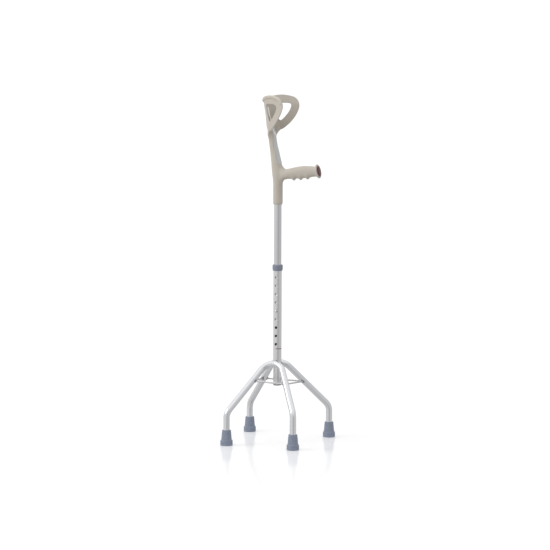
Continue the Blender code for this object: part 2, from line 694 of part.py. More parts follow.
def main():
    clear_scene()
    mats = {
        "aluminium": material("aluminium", (0.60, 0.61, 0.62), 0.32, 1.0),
        "leg": material("leg_aluminium", (0.66, 0.66, 0.67), 0.22, 1.0),
        "weld": material("weld", (0.38, 0.38, 0.40), 0.55, 1.0),
        "steel": material("steel", (0.62, 0.62, 0.63), 0.25, 1.0),
        "plastic": material("beige_plastic", (0.50, 0.44, 0.37), 0.45),
        "rubber": material("blue_grey_rubber", (0.17, 0.20, 0.27), 0.6),
        "maroon": material("maroon_reflector", (0.10, 0.015, 0.025), 0.15),
        "dark": material("dark_plastic", (0.05, 0.05, 0.055), 0.5),
    }
    crutch = group("crutch", (STEM_X, 0, 0))
    base(group("base_frame", (0, 0, 0), crutch), mats)
    slider = group("height_slide", (0, 0, 0), crutch)
    upper_section(slider, mats)
    button(group("button_slide", (0, 0, BUTTON_Z), slider), mats)


main()
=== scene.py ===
"""Looks of the forearm crutch with a four-legged base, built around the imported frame.

Lengths are in millimetres in stem coordinates (z up, the stem axis at x = y = 0)
until a mesh is made; the stem axis stands 10 mm ahead of the row origin along +X.
"""

import math

import bmesh
import bpy
import numpy as np
from mathutils import Matrix, Vector


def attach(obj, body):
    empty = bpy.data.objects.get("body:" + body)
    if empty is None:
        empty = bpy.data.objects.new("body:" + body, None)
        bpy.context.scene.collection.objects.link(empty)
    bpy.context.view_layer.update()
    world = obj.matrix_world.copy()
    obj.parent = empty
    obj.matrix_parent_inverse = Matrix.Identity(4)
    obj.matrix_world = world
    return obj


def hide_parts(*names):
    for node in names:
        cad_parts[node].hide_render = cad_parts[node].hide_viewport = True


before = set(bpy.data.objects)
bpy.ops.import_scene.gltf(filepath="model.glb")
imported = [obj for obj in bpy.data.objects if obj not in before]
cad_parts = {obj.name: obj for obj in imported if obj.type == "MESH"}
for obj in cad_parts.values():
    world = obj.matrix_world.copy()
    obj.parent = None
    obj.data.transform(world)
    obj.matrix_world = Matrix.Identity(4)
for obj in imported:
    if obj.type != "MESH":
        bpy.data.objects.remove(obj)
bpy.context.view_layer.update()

MM = 0.001
STEM_X = 10.0
GAP = 0.3
HOLE_PITCH, BUTTON_Z = 25.0, 392.5
LOWER_R, LOWER_BORE, LOWER_Z = 12.5, 11.3, (171.0, 527.0)
UPPER_R, UPPER_BORE, UPPER_Z = 11.0, 9.8, (352.0, 797.0)
HOLE_R = 4.1
LEG_R, LEG_BORE = 9.5, 8.1
FOOT_Y = 129.0
FEET_X = {"right": (-110.5, 99.5), "left": (-138.5, 118.5)}
BEND_Z = {"right": (96.0, 106.0), "left": (88.0, 95.0)}
HOOP_TOP_X, HOOP_TOP_Z = -3.0, 235.0
HOOP_BEND_R = {"right": 37.0, "left": 34.0}
LEG_BEND_R = 36.0
ROD_R = 2.4
ROD_Z = {"right_rear": 186.0, "right_front": 183.0, "left_front": 174.0, "left_rear": 176.5}
FERRULE_H, FERRULE_FLOOR, WASHER_T = 45.6, 6.5, 1.5
COLLAR_Z, COLLAR_R = (512.0, 530.0), 15.3
SLEEVE_Z, SLEEVE_R = 709.0, 13.8
CHANNEL_HALF_W, WEB = 9.5, 3.0
GRIP_HALF_W = 15.5
FLANGE_TILT = math.radians(12.8)
FLANGE_AT = (128.2, 811.3)
CUFF_T = 4.0
CUFF_TURN = math.radians(5.0)
CUFF_PIVOT_X = -16.0

BACK = [(700, -13.8), (768, -13.8), (785, -15.2), (797, -17.2), (820, -19.5), (832, -20.2), (853, -22.3),
        (877, -25.1), (900, -28.4), (918, -31.0), (930, -31.5), (938, -32.3), (947, -33.3), (959, -34.4), (971, -35.5),
        (983, -37.5), (995, -40.1), (1006, -41.8)]
FRONT = [(826, 12.7), (841, 9.1), (853, 5.8), (871, 1.4), (882, -1.7), (894, -4.2), (906, -6.0), (918, -7.4),
         (930, -11.0), (950, -15.5)]
LIPS = [(822, 13.4), (828, 10.6), (833, 6.0), (840, 0.8), (849, -1.6), (858, -3.4), (867, -6.0), (876, -9.0), (885, -11.2),
        (894, -11.6), (905, -11.6), (918, -12.0), (929, -12.8), (938, -16.0), (950, -21.5), (962, -26.6), (974, -31.7),
        (998, -40.9), (1003, -42.4)]
SHELL_BACK = [(925, -32.6), (936, -33.4), (947, -35.1), (959, -36.3), (971, -37.4), (983, -39.0), (995, -41.6),
              (1006, -43.3), (1020, -45.0), (1034, -46.2)]
PLAN = [(0, -43.3), (9, -41.6), (17.5, -37.6), (25, -31.0), (31.5, -22.0), (36.5, -12.0), (41.5, 0.0), (46.0, 10.0),
        (50.2, 20.0), (54.3, 30.0), (58.5, 41.0), (60.5, 46.0)]
LOOP = [((-36, 933.6), (-15.6, 961.0)), ((-22, 931.4), (-13.4, 958.9)), ((-7.5, 931.5), (-8.6, 957.6)),
        ((4.3, 939.6), (-4.4, 960.6)), ((16.7, 954.4), (-0.2, 965.6)), ((26.7, 968.4), (6.2, 973.5)),
        ((34.3, 980.2), (12.2, 982.5)), ((39.4, 991.2), (16.6, 991.5)), ((41.9, 1001), (18.8, 998.8)),
        ((40.2, 1011.6), (18.4, 1003.8)), ((34.4, 1021.4), (15.0, 1007.0)), ((24.6, 1028.0), (9.5, 1008.0)),
        ((10.5, 1031.6), (2.5, 1008.2)), ((-4.0, 1033.4), (-5.5, 1008.1)), ((-18, 1032.6), (-13.0, 1007.6)),
        ((-28, 1030.0), (-18.6, 1006.2)), ((-36, 1026.6), (-21.4, 1003.0)), ((-36, 1003), (-22.2, 997.5)),
        ((-36, 985), (-21.8, 988)), ((-36, 967), (-21.2, 977.5)), ((-36, 950), (-18.7, 968.5))]
RIGHT_OPENING = [(-18.6, 960.8), (-14.8, 956.8), (-9.6, 956.2), (-4.6, 959.6), (0.2, 965.6), (6.6, 973.3), (12.2, 982.5),
                 (16.4, 991.5), (17.9, 997.4), (16.2, 1001.8), (11.6, 1005.2), (6.8, 1007.0), (1.5, 1007.9), (-5.5, 1008.1),
                 (-15.0, 1007.9), (-22.4, 1006.8), (-25.4, 1003.2), (-26.2, 997.5), (-25.8, 988), (-25.9, 977.5),
                 (-23.4, 968.5)]
GRIP_TOP = [(-8, 810), (2, 817), (10, 821.5), (14.5, 821.5), (17.5, 818.6), (21, 816.2), (26, 815.0), (34, 816.2),
            (43.6, 818.6), (59, 822.2), (78, 825.3), (97, 825.8), (113, 825.0), (124, 825.0)]
GRIP_UNDER = [(-8, 781), (2, 778), (10, 774.5), (14.5, 776.5), (17.5, 780.2), (21, 783.0), (31, 785.6), (45.5, 785.6),
              (51, 781.4), (55.5, 785.9), (59.5, 788.0), (67.5, 786.8), (72.5, 783.4), (77.5, 787.8), (82.5, 789.6),
              (90, 789.0), (94, 785.8), (99, 790.8), (104, 792.8), (114, 794.8), (124, 795.6)]
GRIP_WIDE = [(-8, 9.0), (2, 10.5), (12, 12.6), (22, 14.4), (36, GRIP_HALF_W), (100, GRIP_HALF_W), (118, 15.0)]


# ----------------------------------------------------------------- numbers
class Line:
    """Smooth curve through (x, value) knots by Hermite pieces, level beyond the ends, for arrays."""

    def __init__(self, knots, step=0.25):
        knots = [(float(a), float(b)) for a, b in knots]
        xs = [k[0] for k in knots]
        slopes = []
        for k in range(len(knots)):
            lo, hi = max(k - 1, 0), min(k + 1, len(knots) - 1)
            slopes.append((knots[hi][1] - knots[lo][1]) / (knots[hi][0] - knots[lo][0]))
        self.x = np.arange(xs[0], xs[-1] + step / 2, step)
        i = np.clip(np.searchsorted(xs, self.x, side="right") - 1, 0, len(xs) - 2)
        x0, y0 = np.array(knots)[i].T
        x1, y1 = np.array(knots)[i + 1].T
        s0, s1 = np.array(slopes)[i], np.array(slopes)[i + 1]
        h = x1 - x0
        t = np.clip((self.x - x0) / h, 0, 1)
        self.y = (y0 * (2 * t**3 - 3 * t**2 + 1) + s0 * h * (t**3 - 2 * t**2 + t)
                  + y1 * (3 * t**2 - 2 * t**3) + s1 * h * (t**3 - t**2))

    def __call__(self, x):
        return np.interp(x, self.x, self.y)


def smin(a, b, k):
    h = np.clip(0.5 + 0.5 * (b - a) / k, 0, 1)
    return b + (a - b) * h - k * h * (1 - h)


def smax(a, b, k):
    return -smin(-a, -b, k)


def ramp(x, low, high):
    t = np.clip((x - low) / (high - low), 0, 1)
    return t * t * (3 - 2 * t)


def oval(x, y, middle, a, b, power):
    """Near the surface, the distance to a superellipse."""
    u, v = np.abs(x - middle) / a, np.abs(y) / b
    f = (u**power + v**power) ** (1 / power) + 1e-6
    gx = (u / f) ** (power - 1) / a
    gy = (v / f) ** (power - 1) / b
    return (f - 1) / np.sqrt(gx * gx + gy * gy + 1e-12)


def polygon_distance(px, py, corners):
    """Signed distance from points to a closed polygon, negative inside."""
    corners = np.asarray(corners, float)
    best = np.full(px.shape, 1e9)
    inside = np.zeros(px.shape, bool)
    for (ax, ay), (bx, by) in zip(corners, np.roll(corners, -1, axis=0)):
        ex, ey = bx - ax, by - ay
        t = np.clip(((px - ax) * ex + (py - ay) * ey) / (ex * ex + ey * ey), 0, 1)
        best = np.minimum(best, (px - ax - t * ex) ** 2 + (py - ay - t * ey) ** 2)
        crosses = (ay > py) != (by > py)
        with np.errstate(divide="ignore", invalid="ignore"):
            side = px < (bx - ax) * (py - ay) / np.where(by == ay, 1e-9, by - ay) + ax
        inside ^= crosses & side
    return np.where(inside, -1, 1) * np.sqrt(best)


class Table:
    """A function of two numbers kept on an even grid and read by bilinear interpolation."""

    def __init__(self, x, y, values):
        self.x0, self.y0, self.step = x[0], y[0], x[1] - x[0]
        self.values = values

    def __call__(self, x, y):
        v = self.values
        fx = np.clip((x - self.x0) / self.step, 0, v.shape[0] - 1.001)
        fy = np.clip((y - self.y0) / self.step, 0, v.shape[1] - 1.001)
        i, j = fx.astype(int), fy.astype(int)
        a, b = fx - i, fy - j
        return (v[i, j] * (1 - a) * (1 - b) + v[i + 1, j] * a * (1 - b)
                + v[i, j + 1] * (1 - a) * b + v[i + 1, j + 1] * a * b)


def closed_curve(points, parts):
    """Catmull-Rom points round a closed list, `parts` to each span."""
    p = np.asarray(points, float)
    p0, p1, p2, p3 = (np.roll(p, -k, axis=0) for k in (-1, 0, 1, 2))
    out = []
    for s in range(parts):
        t = s / parts
        out.append(0.5 * (2 * p1 + (p2 - p0) * t + (2 * p0 - 5 * p1 + 4 * p2 - p3) * t**2
                          + (3 * p1 - p0 - 3 * p2 + p3) * t**3))
    return np.stack(out, axis=1).reshape(-1, p.shape[1])


# ------------------------------------------------------------- the moulding
class Moulding:
    """Distance to the one-piece moulding: sleeve, grip, stem and looped cuff, less the insert's channel."""

    def __init__(self):
        self.back = Line(BACK)
        self.front = Line([(700, 13.8), (788, 13.8), (806, 14.6), (818, 14.4), (827, 12.2)] + FRONT[1:])
        self.insert_front = Line(FRONT)
        self.lips = Line([(812, 20), (820, 14.6)] + LIPS[1:])
        self.shell_back = Line(SHELL_BACK)
        self.flare = Line([(880, 2.0), (888, 6.5), (894, 9.6), (900, 11.9), (906, 14.0), (910, 16.2), (912.5, 17.9),
                           (915, 20.0), (918, 22.4), (920.6, 24.9), (923.4, 28.2), (926, 32.0), (928.5, 37.0),
                           (931, 43.0)])
        self.top, self.under, self.wide = Line(GRIP_TOP), Line(GRIP_UNDER), Line(GRIP_WIDE)
        smooth_under = [k for k in GRIP_UNDER if k[0] not in (51, 72.5, 94)]
        self.under_mean = Line(smooth_under)
        self.chamfer = Line([(709, 11.7), (709.6, 12.1), (714.2, 13.7), (716, SLEEVE_R), (720, SLEEVE_R)], 0.1)
        self._plan()
        self._outline()

    def _plan(self):
        """Distance to the cuff's outer line seen from above, how far round it the nearest point is, and its normal."""
        knots = [(-y, x) for y, x in PLAN[:0:-1]] + PLAN
        line = Line(knots, 0.25)
        ys = np.concatenate([[line.x[0] - 6], line.x, [line.x[-1] + 6]])
        slope = (PLAN[-1][1] - PLAN[-2][1]) / (PLAN[-1][0] - PLAN[-2][0])
        xs = np.concatenate([[line.y[0] + 6 * slope], line.y, [line.y[-1] + 6 * slope]])
        steps = np.hypot(np.diff(xs), np.diff(ys))
        along = np.concatenate([[0], np.cumsum(steps)])
        along -= np.interp(0, ys, along)
        self.s_of_y = lambda y: np.interp(y, ys, along)
        half = Line([(x, y) for y, x in PLAN], 0.25)
        self.s_of_x = lambda x: self.s_of_y(half(x))
        gx, gy = np.arange(-70, 75, 1.0), np.arange(-80, 80.5, 1.0)
        px, py = np.meshgrid(gx, gy, indexing="ij")
        best, where = np.full(px.shape, 1e9), np.zeros(px.shape)
        for k in range(0, len(xs) - 1, 2):
            m = min(k + 2, len(xs) - 1)
            ex, ey = xs[m] - xs[k], ys[m] - ys[k]
            t = np.clip(((px - xs[k]) * ex + (py - ys[k]) * ey) / (ex * ex + ey * ey), 0, 1)
            d = (px - xs[k] - t * ex) ** 2 + (py - ys[k] - t * ey) ** 2
            near = d < best
            best = np.where(near, d, best)
            where = np.where(near, along[k] + t * (along[m] - along[k]), where)
        outside = px < np.interp(py, ys, xs)
        self.g = Table(gx, gy, np.where(outside, 1, -1) * np.sqrt(best))
        self.s = Table(gx, gy, where)

    def _outline(self):
        """Distance to the cuff's outline on the unrolled sheet: (round the cuff, up)."""
        outer = [p for p, _ in LOOP[:17]]
        right = [(float(self.s_of_x(x)), z) for x, z in outer]
        ring = [(0, 935.0)] + right + [(0, 1024.0)] + [(-s, z) for s, z in right[::-1]]
        ring = closed_curve(ring, 6)
        left_hole = closed_curve([(float(self.s_of_x(q[0])), q[1]) for _, q in LOOP], 6)
        right_hole = closed_curve([(float(self.s_of_x(x)), z) for x, z in RIGHT_OPENING], 6)
        gs, gz = np.arange(-125, 125.5, 1.0), np.arange(905, 1050, 1.0)
        ps, pz = np.meshgrid(gs, gz, indexing="ij")
        d = polygon_distance(ps, pz, ring)
        holes = np.where(ps > 0, polygon_distance(ps, pz, left_hole), polygon_distance(-ps, pz, right_hole))
        fuller = np.interp(pz, [925, 933, 940, 950, 962, 970, 984, 1003], [1.5, 1.3, 1.4, 3.0, 3.5, 3.2, 1.8, 0])
        self.edge = Table(gs, gz, d + 0.1 - fuller * ramp(ps, 12, 30))
        self.hole = Table(gs, gz, holes)

    def cuff(self, x, y, z):
        """Distance to the looped cuff, and to its outer side alone."""
        c, s = math.cos(CUFF_TURN), math.sin(CUFF_TURN)
        dx = x - CUFF_PIVOT_X
        x, y = CUFF_PIVOT_X + dx * c - y * s, dx * s + y * c
        lean = self.shell_back(z) - PLAN[0][1]
        px = x.copy()
        for _ in range(10):
            t = np.clip((px + 8) / -26, 0, 1)
            px = x - lean * t * t * (3 - 2 * t)
        t = np.clip((px + 8) / -26, 0, 1)
        stretch = 1 / (1 - lean * 6 * t * (1 - t) / 26)
        g = self.g(px, y)
        gx = (self.g(px + 0.5, y) - self.g(px - 0.5, y)) * stretch
        gy = self.g(px, y + 0.5) - self.g(px, y - 0.5)
        g = g / np.sqrt(np.clip(gx * gx + gy * gy, 0.2, 10))
        s = self.s(px, y)
        edge = self.edge(s, z)
        # a rolled rim along the top: out sharply underneath, rounding back towards the edge
        below = -edge
        width = np.interp(np.abs(s), [12, 25, 45, 74], [16.5, 13.6, 11.0, 10.4])
        peak = 0.56 * width
        bead = ramp(below, width, peak) * (1 - 0.62 * np.clip((peak - below) / peak, 0, 1.3) ** 2)
        bead = np.interp(np.abs(s), [14, 30], [3.9, 2.9]) * bead * ramp(z, 1003, 1011)
        sheet = np.maximum(g - bead, -(g + CUFF_T) + 0.15 * bead)
        round_ = 1.35
        wall = np.maximum(edge, -self.hole(s, z))
        a, b = sheet + round_, wall + round_
        return np.hypot(np.maximum(a, 0), np.maximum(b, 0)) + np.minimum(np.maximum(a, b), 0) - round_, g

    def stem(self, x, y, z, cut=True):
        back, front = self.back(z), self.front(z)
        width = SLEEVE_R - 1.8 * np.clip((z - 800) / 60, 0, 1) - 1.5 * np.clip((z - 930) / 70, 0, 1)
        power = 2.0 + 0.5 * np.clip((z - 800) / 60, 0, 1)
        slim = np.where(z < 719, SLEEVE_R - self.chamfer(z), 0) - 0.45 * (1 - ramp(z, 770, 795))
        d = oval(x, y, (front + back) / 2, (front - back) / 2, width, power) + slim
        if cut:
            d = smax(d, (x - self.lips(z)) * 0.94, 0.8)
        d = smax(d, SLEEVE_Z - z, 0.6)
        return np.maximum(d, z - 1006)

    def web(self, x, y, z, g):
        """The stem's sides flaring out into the lower limbs of the loops, about 8 mm thick."""
        out = np.abs(y)
        slope = np.sqrt(1 + (self.flare(z + 0.5) - self.flare(z - 0.5)) ** 2)
        behind = np.maximum(self.back(z) + np.interp(z, [892, 920], [6.5, 1.0]), 0.39 * out - 33.2)
        front = 0.30 * np.clip(out - 12, 0, 30) - 13.2
        d = smax(smax((out - self.flare(z)) / slope, behind - x, 4.0), 0.96 * (x - front), 1.5)
        inner = (out - self.flare(z - 11.0) + 2.5) / slope
        floor = behind + 6.0 + 2.6 * ramp(out, 13.0, 20.0)
        d = smax(d, -smax(inner, floor - x, 1.0), 1.0)
        return smax(smax(d, g + 0.6, 1.5), z - 945.0, 2.0)

    def grip(self, x, y, z):
        top, under, mean, wide = self.top(x), self.under(x), self.under_mean(x), self.wide(x)
        centre = (top + mean) / 2
        half = np.where(z > centre, top - centre, centre - under)
        d = oval(z - centre, y, 0, half, wide, 2.15)
        return np.maximum(np.maximum(d, -8 - x), x - 125)

    def flange(self, x, y, z):
        c, s = math.cos(FLANGE_TILT), math.sin(FLANGE_TILT)
        dx, dz = x - FLANGE_AT[0], z - FLANGE_AT[1]
        t = dx * c + dz * s
        up = dz * c - dx * s
        r = np.hypot(y, up)
        body = polygon_distance(r, t, [(0, -9), (14.4, -9), (16.0, -6.6), (18.6, -4.9), (20.4, -3.6), (20.9, -2.4),
                                       (20.9, -1.2), (20.2, 0.0), (0, 0)])
        seat = polygon_distance(r, t, [(0, -16), (9.6, -16), (9.6, -2.6), (18.0, -2.6), (18.0, 6), (0, 6)])
        return body, seat

    def channel(self, x, y, z):
        t = np.clip((z - 946) / 30, 0, 1)
        back = self.back(z) + WEB - 1.5 * t
        front = np.where(z < 832, 11.5, self.insert_front(z) + GAP + 7 * np.clip((z - 908) / 10, 0, 1))
        t = np.clip((z - 946) / 55, 0, 1)
        front = np.where(z > 946, np.maximum(self.lips(z) + 12, back + 14), front)
        width = CHANNEL_HALF_W - 2.5 * t
        d = oval(x, y, (front + back) / 2, (front - back) / 2, width, 2.5)
        # a round-ended mouth, so that the skin ends at full thickness and not in a feather edge
        mouth = 9 * np.hypot(y / 9, np.clip(837 - z, 0, 99) / 14) - 9
        mouth = np.maximum(np.maximum(mouth, self.lips(z) - 2.5 - x), np.maximum(z - 845, x - 30))
        return np.maximum(np.minimum(d, mouth), 802.7 - z)

    def __call__(self, p):
        x, y, z = p[:, 0], p[:, 1], p[:, 2]
        d = self.stem(x, y, z)
        near = (x > -12) & (x < 145) & (z > 760) & (z < 846)
        g = self.grip(x[near], y[near], z[near])
        body, seat = self.flange(x[near], y[near], z[near])
        g = smin(g, body, 2.0)
        d[near] = smin(d[near], g, 5.0)
        up = z > 884
        x_, y_, z_ = x[up], y[up], z[up]
        cuff, outer = self.cuff(x_, y_, z_)
        d[up] = smin(smin(d[up], self.web(x_, y_, z_, outer), 2.5), cuff, 1.8)
        mid = (z > 795)
        d[mid] = smax(d[mid], -self.channel(x[mid], y[mid], z[mid]), 0.5)
        d[near] = smax(d[near], -seat, 0.4)
        low = z < 805
        bore = np.maximum(np.hypot(x[low], y[low]) - (UPPER_R + GAP), z[low] - UPPER_Z[1] - GAP)
        d[low] = smax(d[low], -bore, 0.4)
        return d


def surface(function, low, high, cell, coarse=3, settle=4):
    """Closed mesh of a function's zero level: one point in each cell that the level passes through, moved onto it."""
    low, high = np.asarray(low, float), np.asarray(high, float)
    n = (np.ceil((high - low) / (cell * coarse)).astype(int) + 1) * coarse + 1
    axes = [low[k] + cell * np.arange(n[k]) for k in range(3)]
    rough = np.stack(np.meshgrid(*[a[::coarse] for a in axes], indexing="ij"), -1)
    shape = rough.shape[:3]
    values = function(rough.reshape(-1, 3)).reshape(shape)
    grid = np.repeat(np.repeat(np.repeat(values, coarse, 0), coarse, 1), coarse, 2)
    half = coarse // 2
    grid = grid[half:half + n[0], half:half + n[1], half:half + n[2]]
    near = np.argwhere(np.abs(grid) < cell * coarse * 2.2)
    points = np.stack([axes[k][near[:, k]] for k in range(3)], -1)
    fine = np.concatenate([function(part) for part in np.array_split(points, max(1, len(points) // 400000))])
    full = np.full(n, 10.0)
    full[:grid.shape[0], :grid.shape[1], :grid.shape[2]] = grid
    full[near[:, 0], near[:, 1], near[:, 2]] = fine
    inside = full < 0
    corner = [(i, j, k) for i in (0, 1) for j in (0, 1) for k in (0, 1)]
    m = n - 1
    count = np.zeros(m, np.int8)
    for i, j, k in corner:
        count += inside[i:m[0] + i, j:m[1] + j, k:m[2] + k]
    cells = np.argwhere((count > 0) & (count < 8))
    index = np.full(m, -1, np.int64)
    index[cells[:, 0], cells[:, 1], cells[:, 2]] = np.arange(len(cells))
    total, weight = np.zeros((len(cells), 3)), np.zeros(len(cells))
    for a in corner:
        for axis in range(3):
            if a[axis]:
                continue
            b = tuple(a[k] + (k == axis) for k in range(3))
            va = full[cells[:, 0] + a[0], cells[:, 1] + a[1], cells[:, 2] + a[2]]
            vb = full[cells[:, 0] + b[0], cells[:, 1] + b[1], cells[:, 2] + b[2]]
            cut = (va < 0) != (vb < 0)
            t = np.where(cut, va / np.where(va == vb, 1, va - vb), 0)
            where = np.array(a) + np.eye(3)[axis] * t[:, None]
            total += where * cut[:, None]
            weight += cut
    verts = low + cell * (cells + total / weight[:, None])
    for _ in range(settle):
        h = 0.05
        here = function(verts)
        slope = np.stack([(function(verts + h * e) - function(verts - h * e)) / (2 * h) for e in np.eye(3)], -1)
        step = here / np.clip((slope**2).sum(1), 0.25, 4)
        step = np.clip(step, -0.5 * cell, 0.5 * cell)
        verts = verts - slope * step[:, None] * 0.8
    faces = []
    for axis in range(3):
        u, v = [(1, 2), (2, 0), (0, 1)][axis]
        a = np.zeros(3, int)
        a[axis] = 1
        one = inside[:m[0] + 1 - a[0], :m[1] + 1 - a[1], :m[2] + 1 - a[2]]
        two = inside[a[0]:, a[1]:, a[2]:]
        edges = np.argwhere(one != two)
        ok = (edges[:, u] > 0) & (edges[:, v] > 0) & (edges[:, u] < m[u]) & (edges[:, v] < m[v])
        edges = edges[ok]
        inner = one[edges[:, 0], edges[:, 1], edges[:, 2]]
        eu, ev = np.eye(3, dtype=int)[u], np.eye(3, dtype=int)[v]
        quad = [index[tuple((edges - o).T)] for o in (eu + ev, ev, 0 * eu, eu)]
        quad = np.stack(quad, 1)
        quad[~inner] = quad[~inner][:, ::-1]
        faces.append(quad)
    return verts, np.concatenate(faces)


# ------------------------------------------------------------------- meshes
def piece(name, verts, faces, mat, body, replaces=(), sharp=None, shade=True):
    """A piece of the object from points in mm around the stem."""
    verts = np.asarray(verts, float) + np.array([STEM_X, 0, 0])
    mesh = bpy.data.meshes.new(name)
    mesh.from_pydata((verts * MM).tolist(), [], [list(map(int, f)) for f in faces])
    mesh.validate()
    if shade:
        mesh.shade_smooth()
        if sharp:
            mesh.set_sharp_from_angle(angle=math.radians(sharp))
    mesh.materials.append(mat)
    obj = bpy.data.objects.new(name, mesh)
    bpy.context.scene.collection.objects.link(obj)
    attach(obj, body)
    for node in replaces:
        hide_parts(node)
    return obj


def skin(rings, closed=False):
    """Faces that join equal rings of points: capped at both ends, or closed into a loop of rings."""
    rings = [np.asarray(r, float) for r in rings]
    count, n = len(rings), len(rings[0])
    faces = []
    for a in range(count if closed else count - 1):
        b = (a + 1) % count
        for i in range(n):
            j = (i + 1) % n
            faces.append((a * n + i, a * n + j, b * n + j, b * n + i))
    if not closed:
        faces.append(tuple(range(n))[::-1])
        faces.append(tuple((count - 1) * n + i for i in range(n)))
    return np.concatenate(rings), faces


def joined(*parts):
    verts, faces, start = [], [], 0
    for v, f in parts:
        verts.append(np.asarray(v, float))
        faces += [tuple(int(i) + start for i in face) for face in f]
        start += len(v)
    return np.concatenate(verts), faces


def turned(profile, steps, at=(0, 0, 0), frame3=None):
    """A profile of (radius, height) spun about a vertical, open from axis to axis, or closed if it never meets the axis."""
    profile = [(float(r), float(z)) for r, z in profile]
    on_axis = profile[0][0] < 1e-6
    a = 2 * math.pi * np.arange(steps) / steps
    verts, rings = [], []
    for r, z in profile:
        if r < 1e-6:
            rings.append([len(verts)])
            verts.append((0, 0, z))
        else:
            rings.append(list(range(len(verts), len(verts) + steps)))
            verts += [(r * math.cos(t), r * math.sin(t), z) for t in a]
    faces = []
    pairs = list(zip(rings, rings[1:])) + ([] if on_axis else [(rings[-1], rings[0])])
    for p, q in pairs:
        for i in range(steps):
            j = (i + 1) % steps
            if len(p) == 1 and len(q) == 1:
                continue
            if len(p) == 1:
                faces.append((p[0], q[j], q[i]))
            elif len(q) == 1:
                faces.append((p[i], p[j], q[0]))
            else:
                faces.append((p[i], p[j], q[j], q[i]))
    verts = np.array(verts, float)
    if frame3 is not None:
        verts = verts @ np.asarray(frame3, float).T
    return verts + np.asarray(at, float), faces


def rounded(profile, radii, parts=4):
    """A profile with its corners rounded off: radii[i] at profile[i], 0 for a sharp one."""
    out = []
    n = len(profile)
    for i, (p, r) in enumerate(zip(profile, radii)):
        p = np.array(p, float)
        if r <= 0 or i in (0, n - 1):
            out.append(tuple(p))
            continue
        u = np.array(profile[i - 1], float) - p
        v = np.array(profile[i + 1], float) - p
        lu, lv = np.hypot(*u), np.hypot(*v)
        u, v = u / lu, v / lv
        half = math.acos(max(-1, min(1, float(u @ v)))) / 2
        cut = min(r / math.tan(half), 0.48 * lu, 0.48 * lv)
        r = cut * math.tan(half)
        centre = p + (u + v) / np.hypot(*(u + v)) * (r / math.sin(half))
        a, b = p + u * cut - centre, p + v * cut - centre
        ta, tb = math.atan2(a[1], a[0]), math.atan2(b[1], b[0])
        turn = (tb - ta + math.pi) % (2 * math.pi) - math.pi
        for k in range(parts + 1):
            t = ta + turn * k / parts
            out.append((centre[0] + r * math.cos(t), centre[1] + r * math.sin(t)))
    return out


def along(path):
    points = [Vector(p) for p in path]
    frames, side = [], None
    for i, p in enumerate(points):
        ahead = (points[min(i + 1, len(points) - 1)] - points[max(i - 1, 0)]).normalized()
        if side is None:
            side = ahead.orthogonal().normalized()
        side = (side - ahead * side.dot(ahead)).normalized()
        frames.append((p, side.copy(), ahead.cross(side)))
    return frames


def pipe_rings(path, radius, steps):
    a = 2 * math.pi * np.arange(steps) / steps
    rings = []
    for p, s, u in along(path):
        p, s, u = (np.array(v) for v in (p, s, u))
        rings.append(p + radius * (np.outer(np.cos(a), s) + np.outer(np.sin(a), u)))
    return rings


def bent(points, radii, most=math.radians(13)):
    """The path of a bent tube: straights between the points, an arc of each radius at the corners."""
    path = [Vector(points[0])]
    for i, radius in enumerate(radii):
        before, corner, after = (Vector(points[i + k]) for k in range(3))
        u, v = (before - corner).normalized(), (after - corner).normalized()
        half = u.angle(v) / 2
        centre = corner + (u + v).normalized() * (radius / math.sin(half))
        start = corner + u * (radius / math.tan(half)) - centre
        stop = corner + v * (radius / math.tan(half)) - centre
        axis = start.cross(stop).normalized()
        turn = math.pi - 2 * half
        steps = max(2, math.ceil(turn / most))
        for k in range(steps + 1):
            path.append(centre + Matrix.Rotation(turn * k / steps, 3, axis) @ start)
    path.append(Vector(points[-1]))
    return path


def hoop_path(side, most):
    sign = -1 if side == "right" else 1
    radius = HOOP_BEND_R[side]
    low = FERRULE_FLOOR + WASHER_T + GAP
    rear, front = (Vector((x, sign * FOOT_Y, z)) for x, z in zip(FEET_X[side], BEND_Z[side]))
    top = Vector((HOOP_TOP_X, sign * (LOWER_R + LEG_R + 0.5), HOOP_TOP_Z))
    corner = top.copy()
    for _ in range(12):
        u, v = (rear - corner).normalized(), (front - corner).normalized()
        half = u.angle(v) / 2
        corner = top - (u + v).normalized() * radius * (1 / math.sin(half) - 1)
    ends = [Vector((p.x, p.y, low)) for p in (rear, front)]
    return bent([ends[0], rear, corner, front, ends[1]], [LEG_BEND_R, radius, LEG_BEND_R], most)


def on_limb(path, z, front):
    for a, b in zip(path, path[1:]):
        if (b.z - a.z) * (-1 if front else 1) > 0 and min(a.z, b.z) <= z <= max(a.z, b.z):
            return a.lerp(b, (z - a.z) / (b.z - a.z))
    raise ValueError("no such height on the limb")


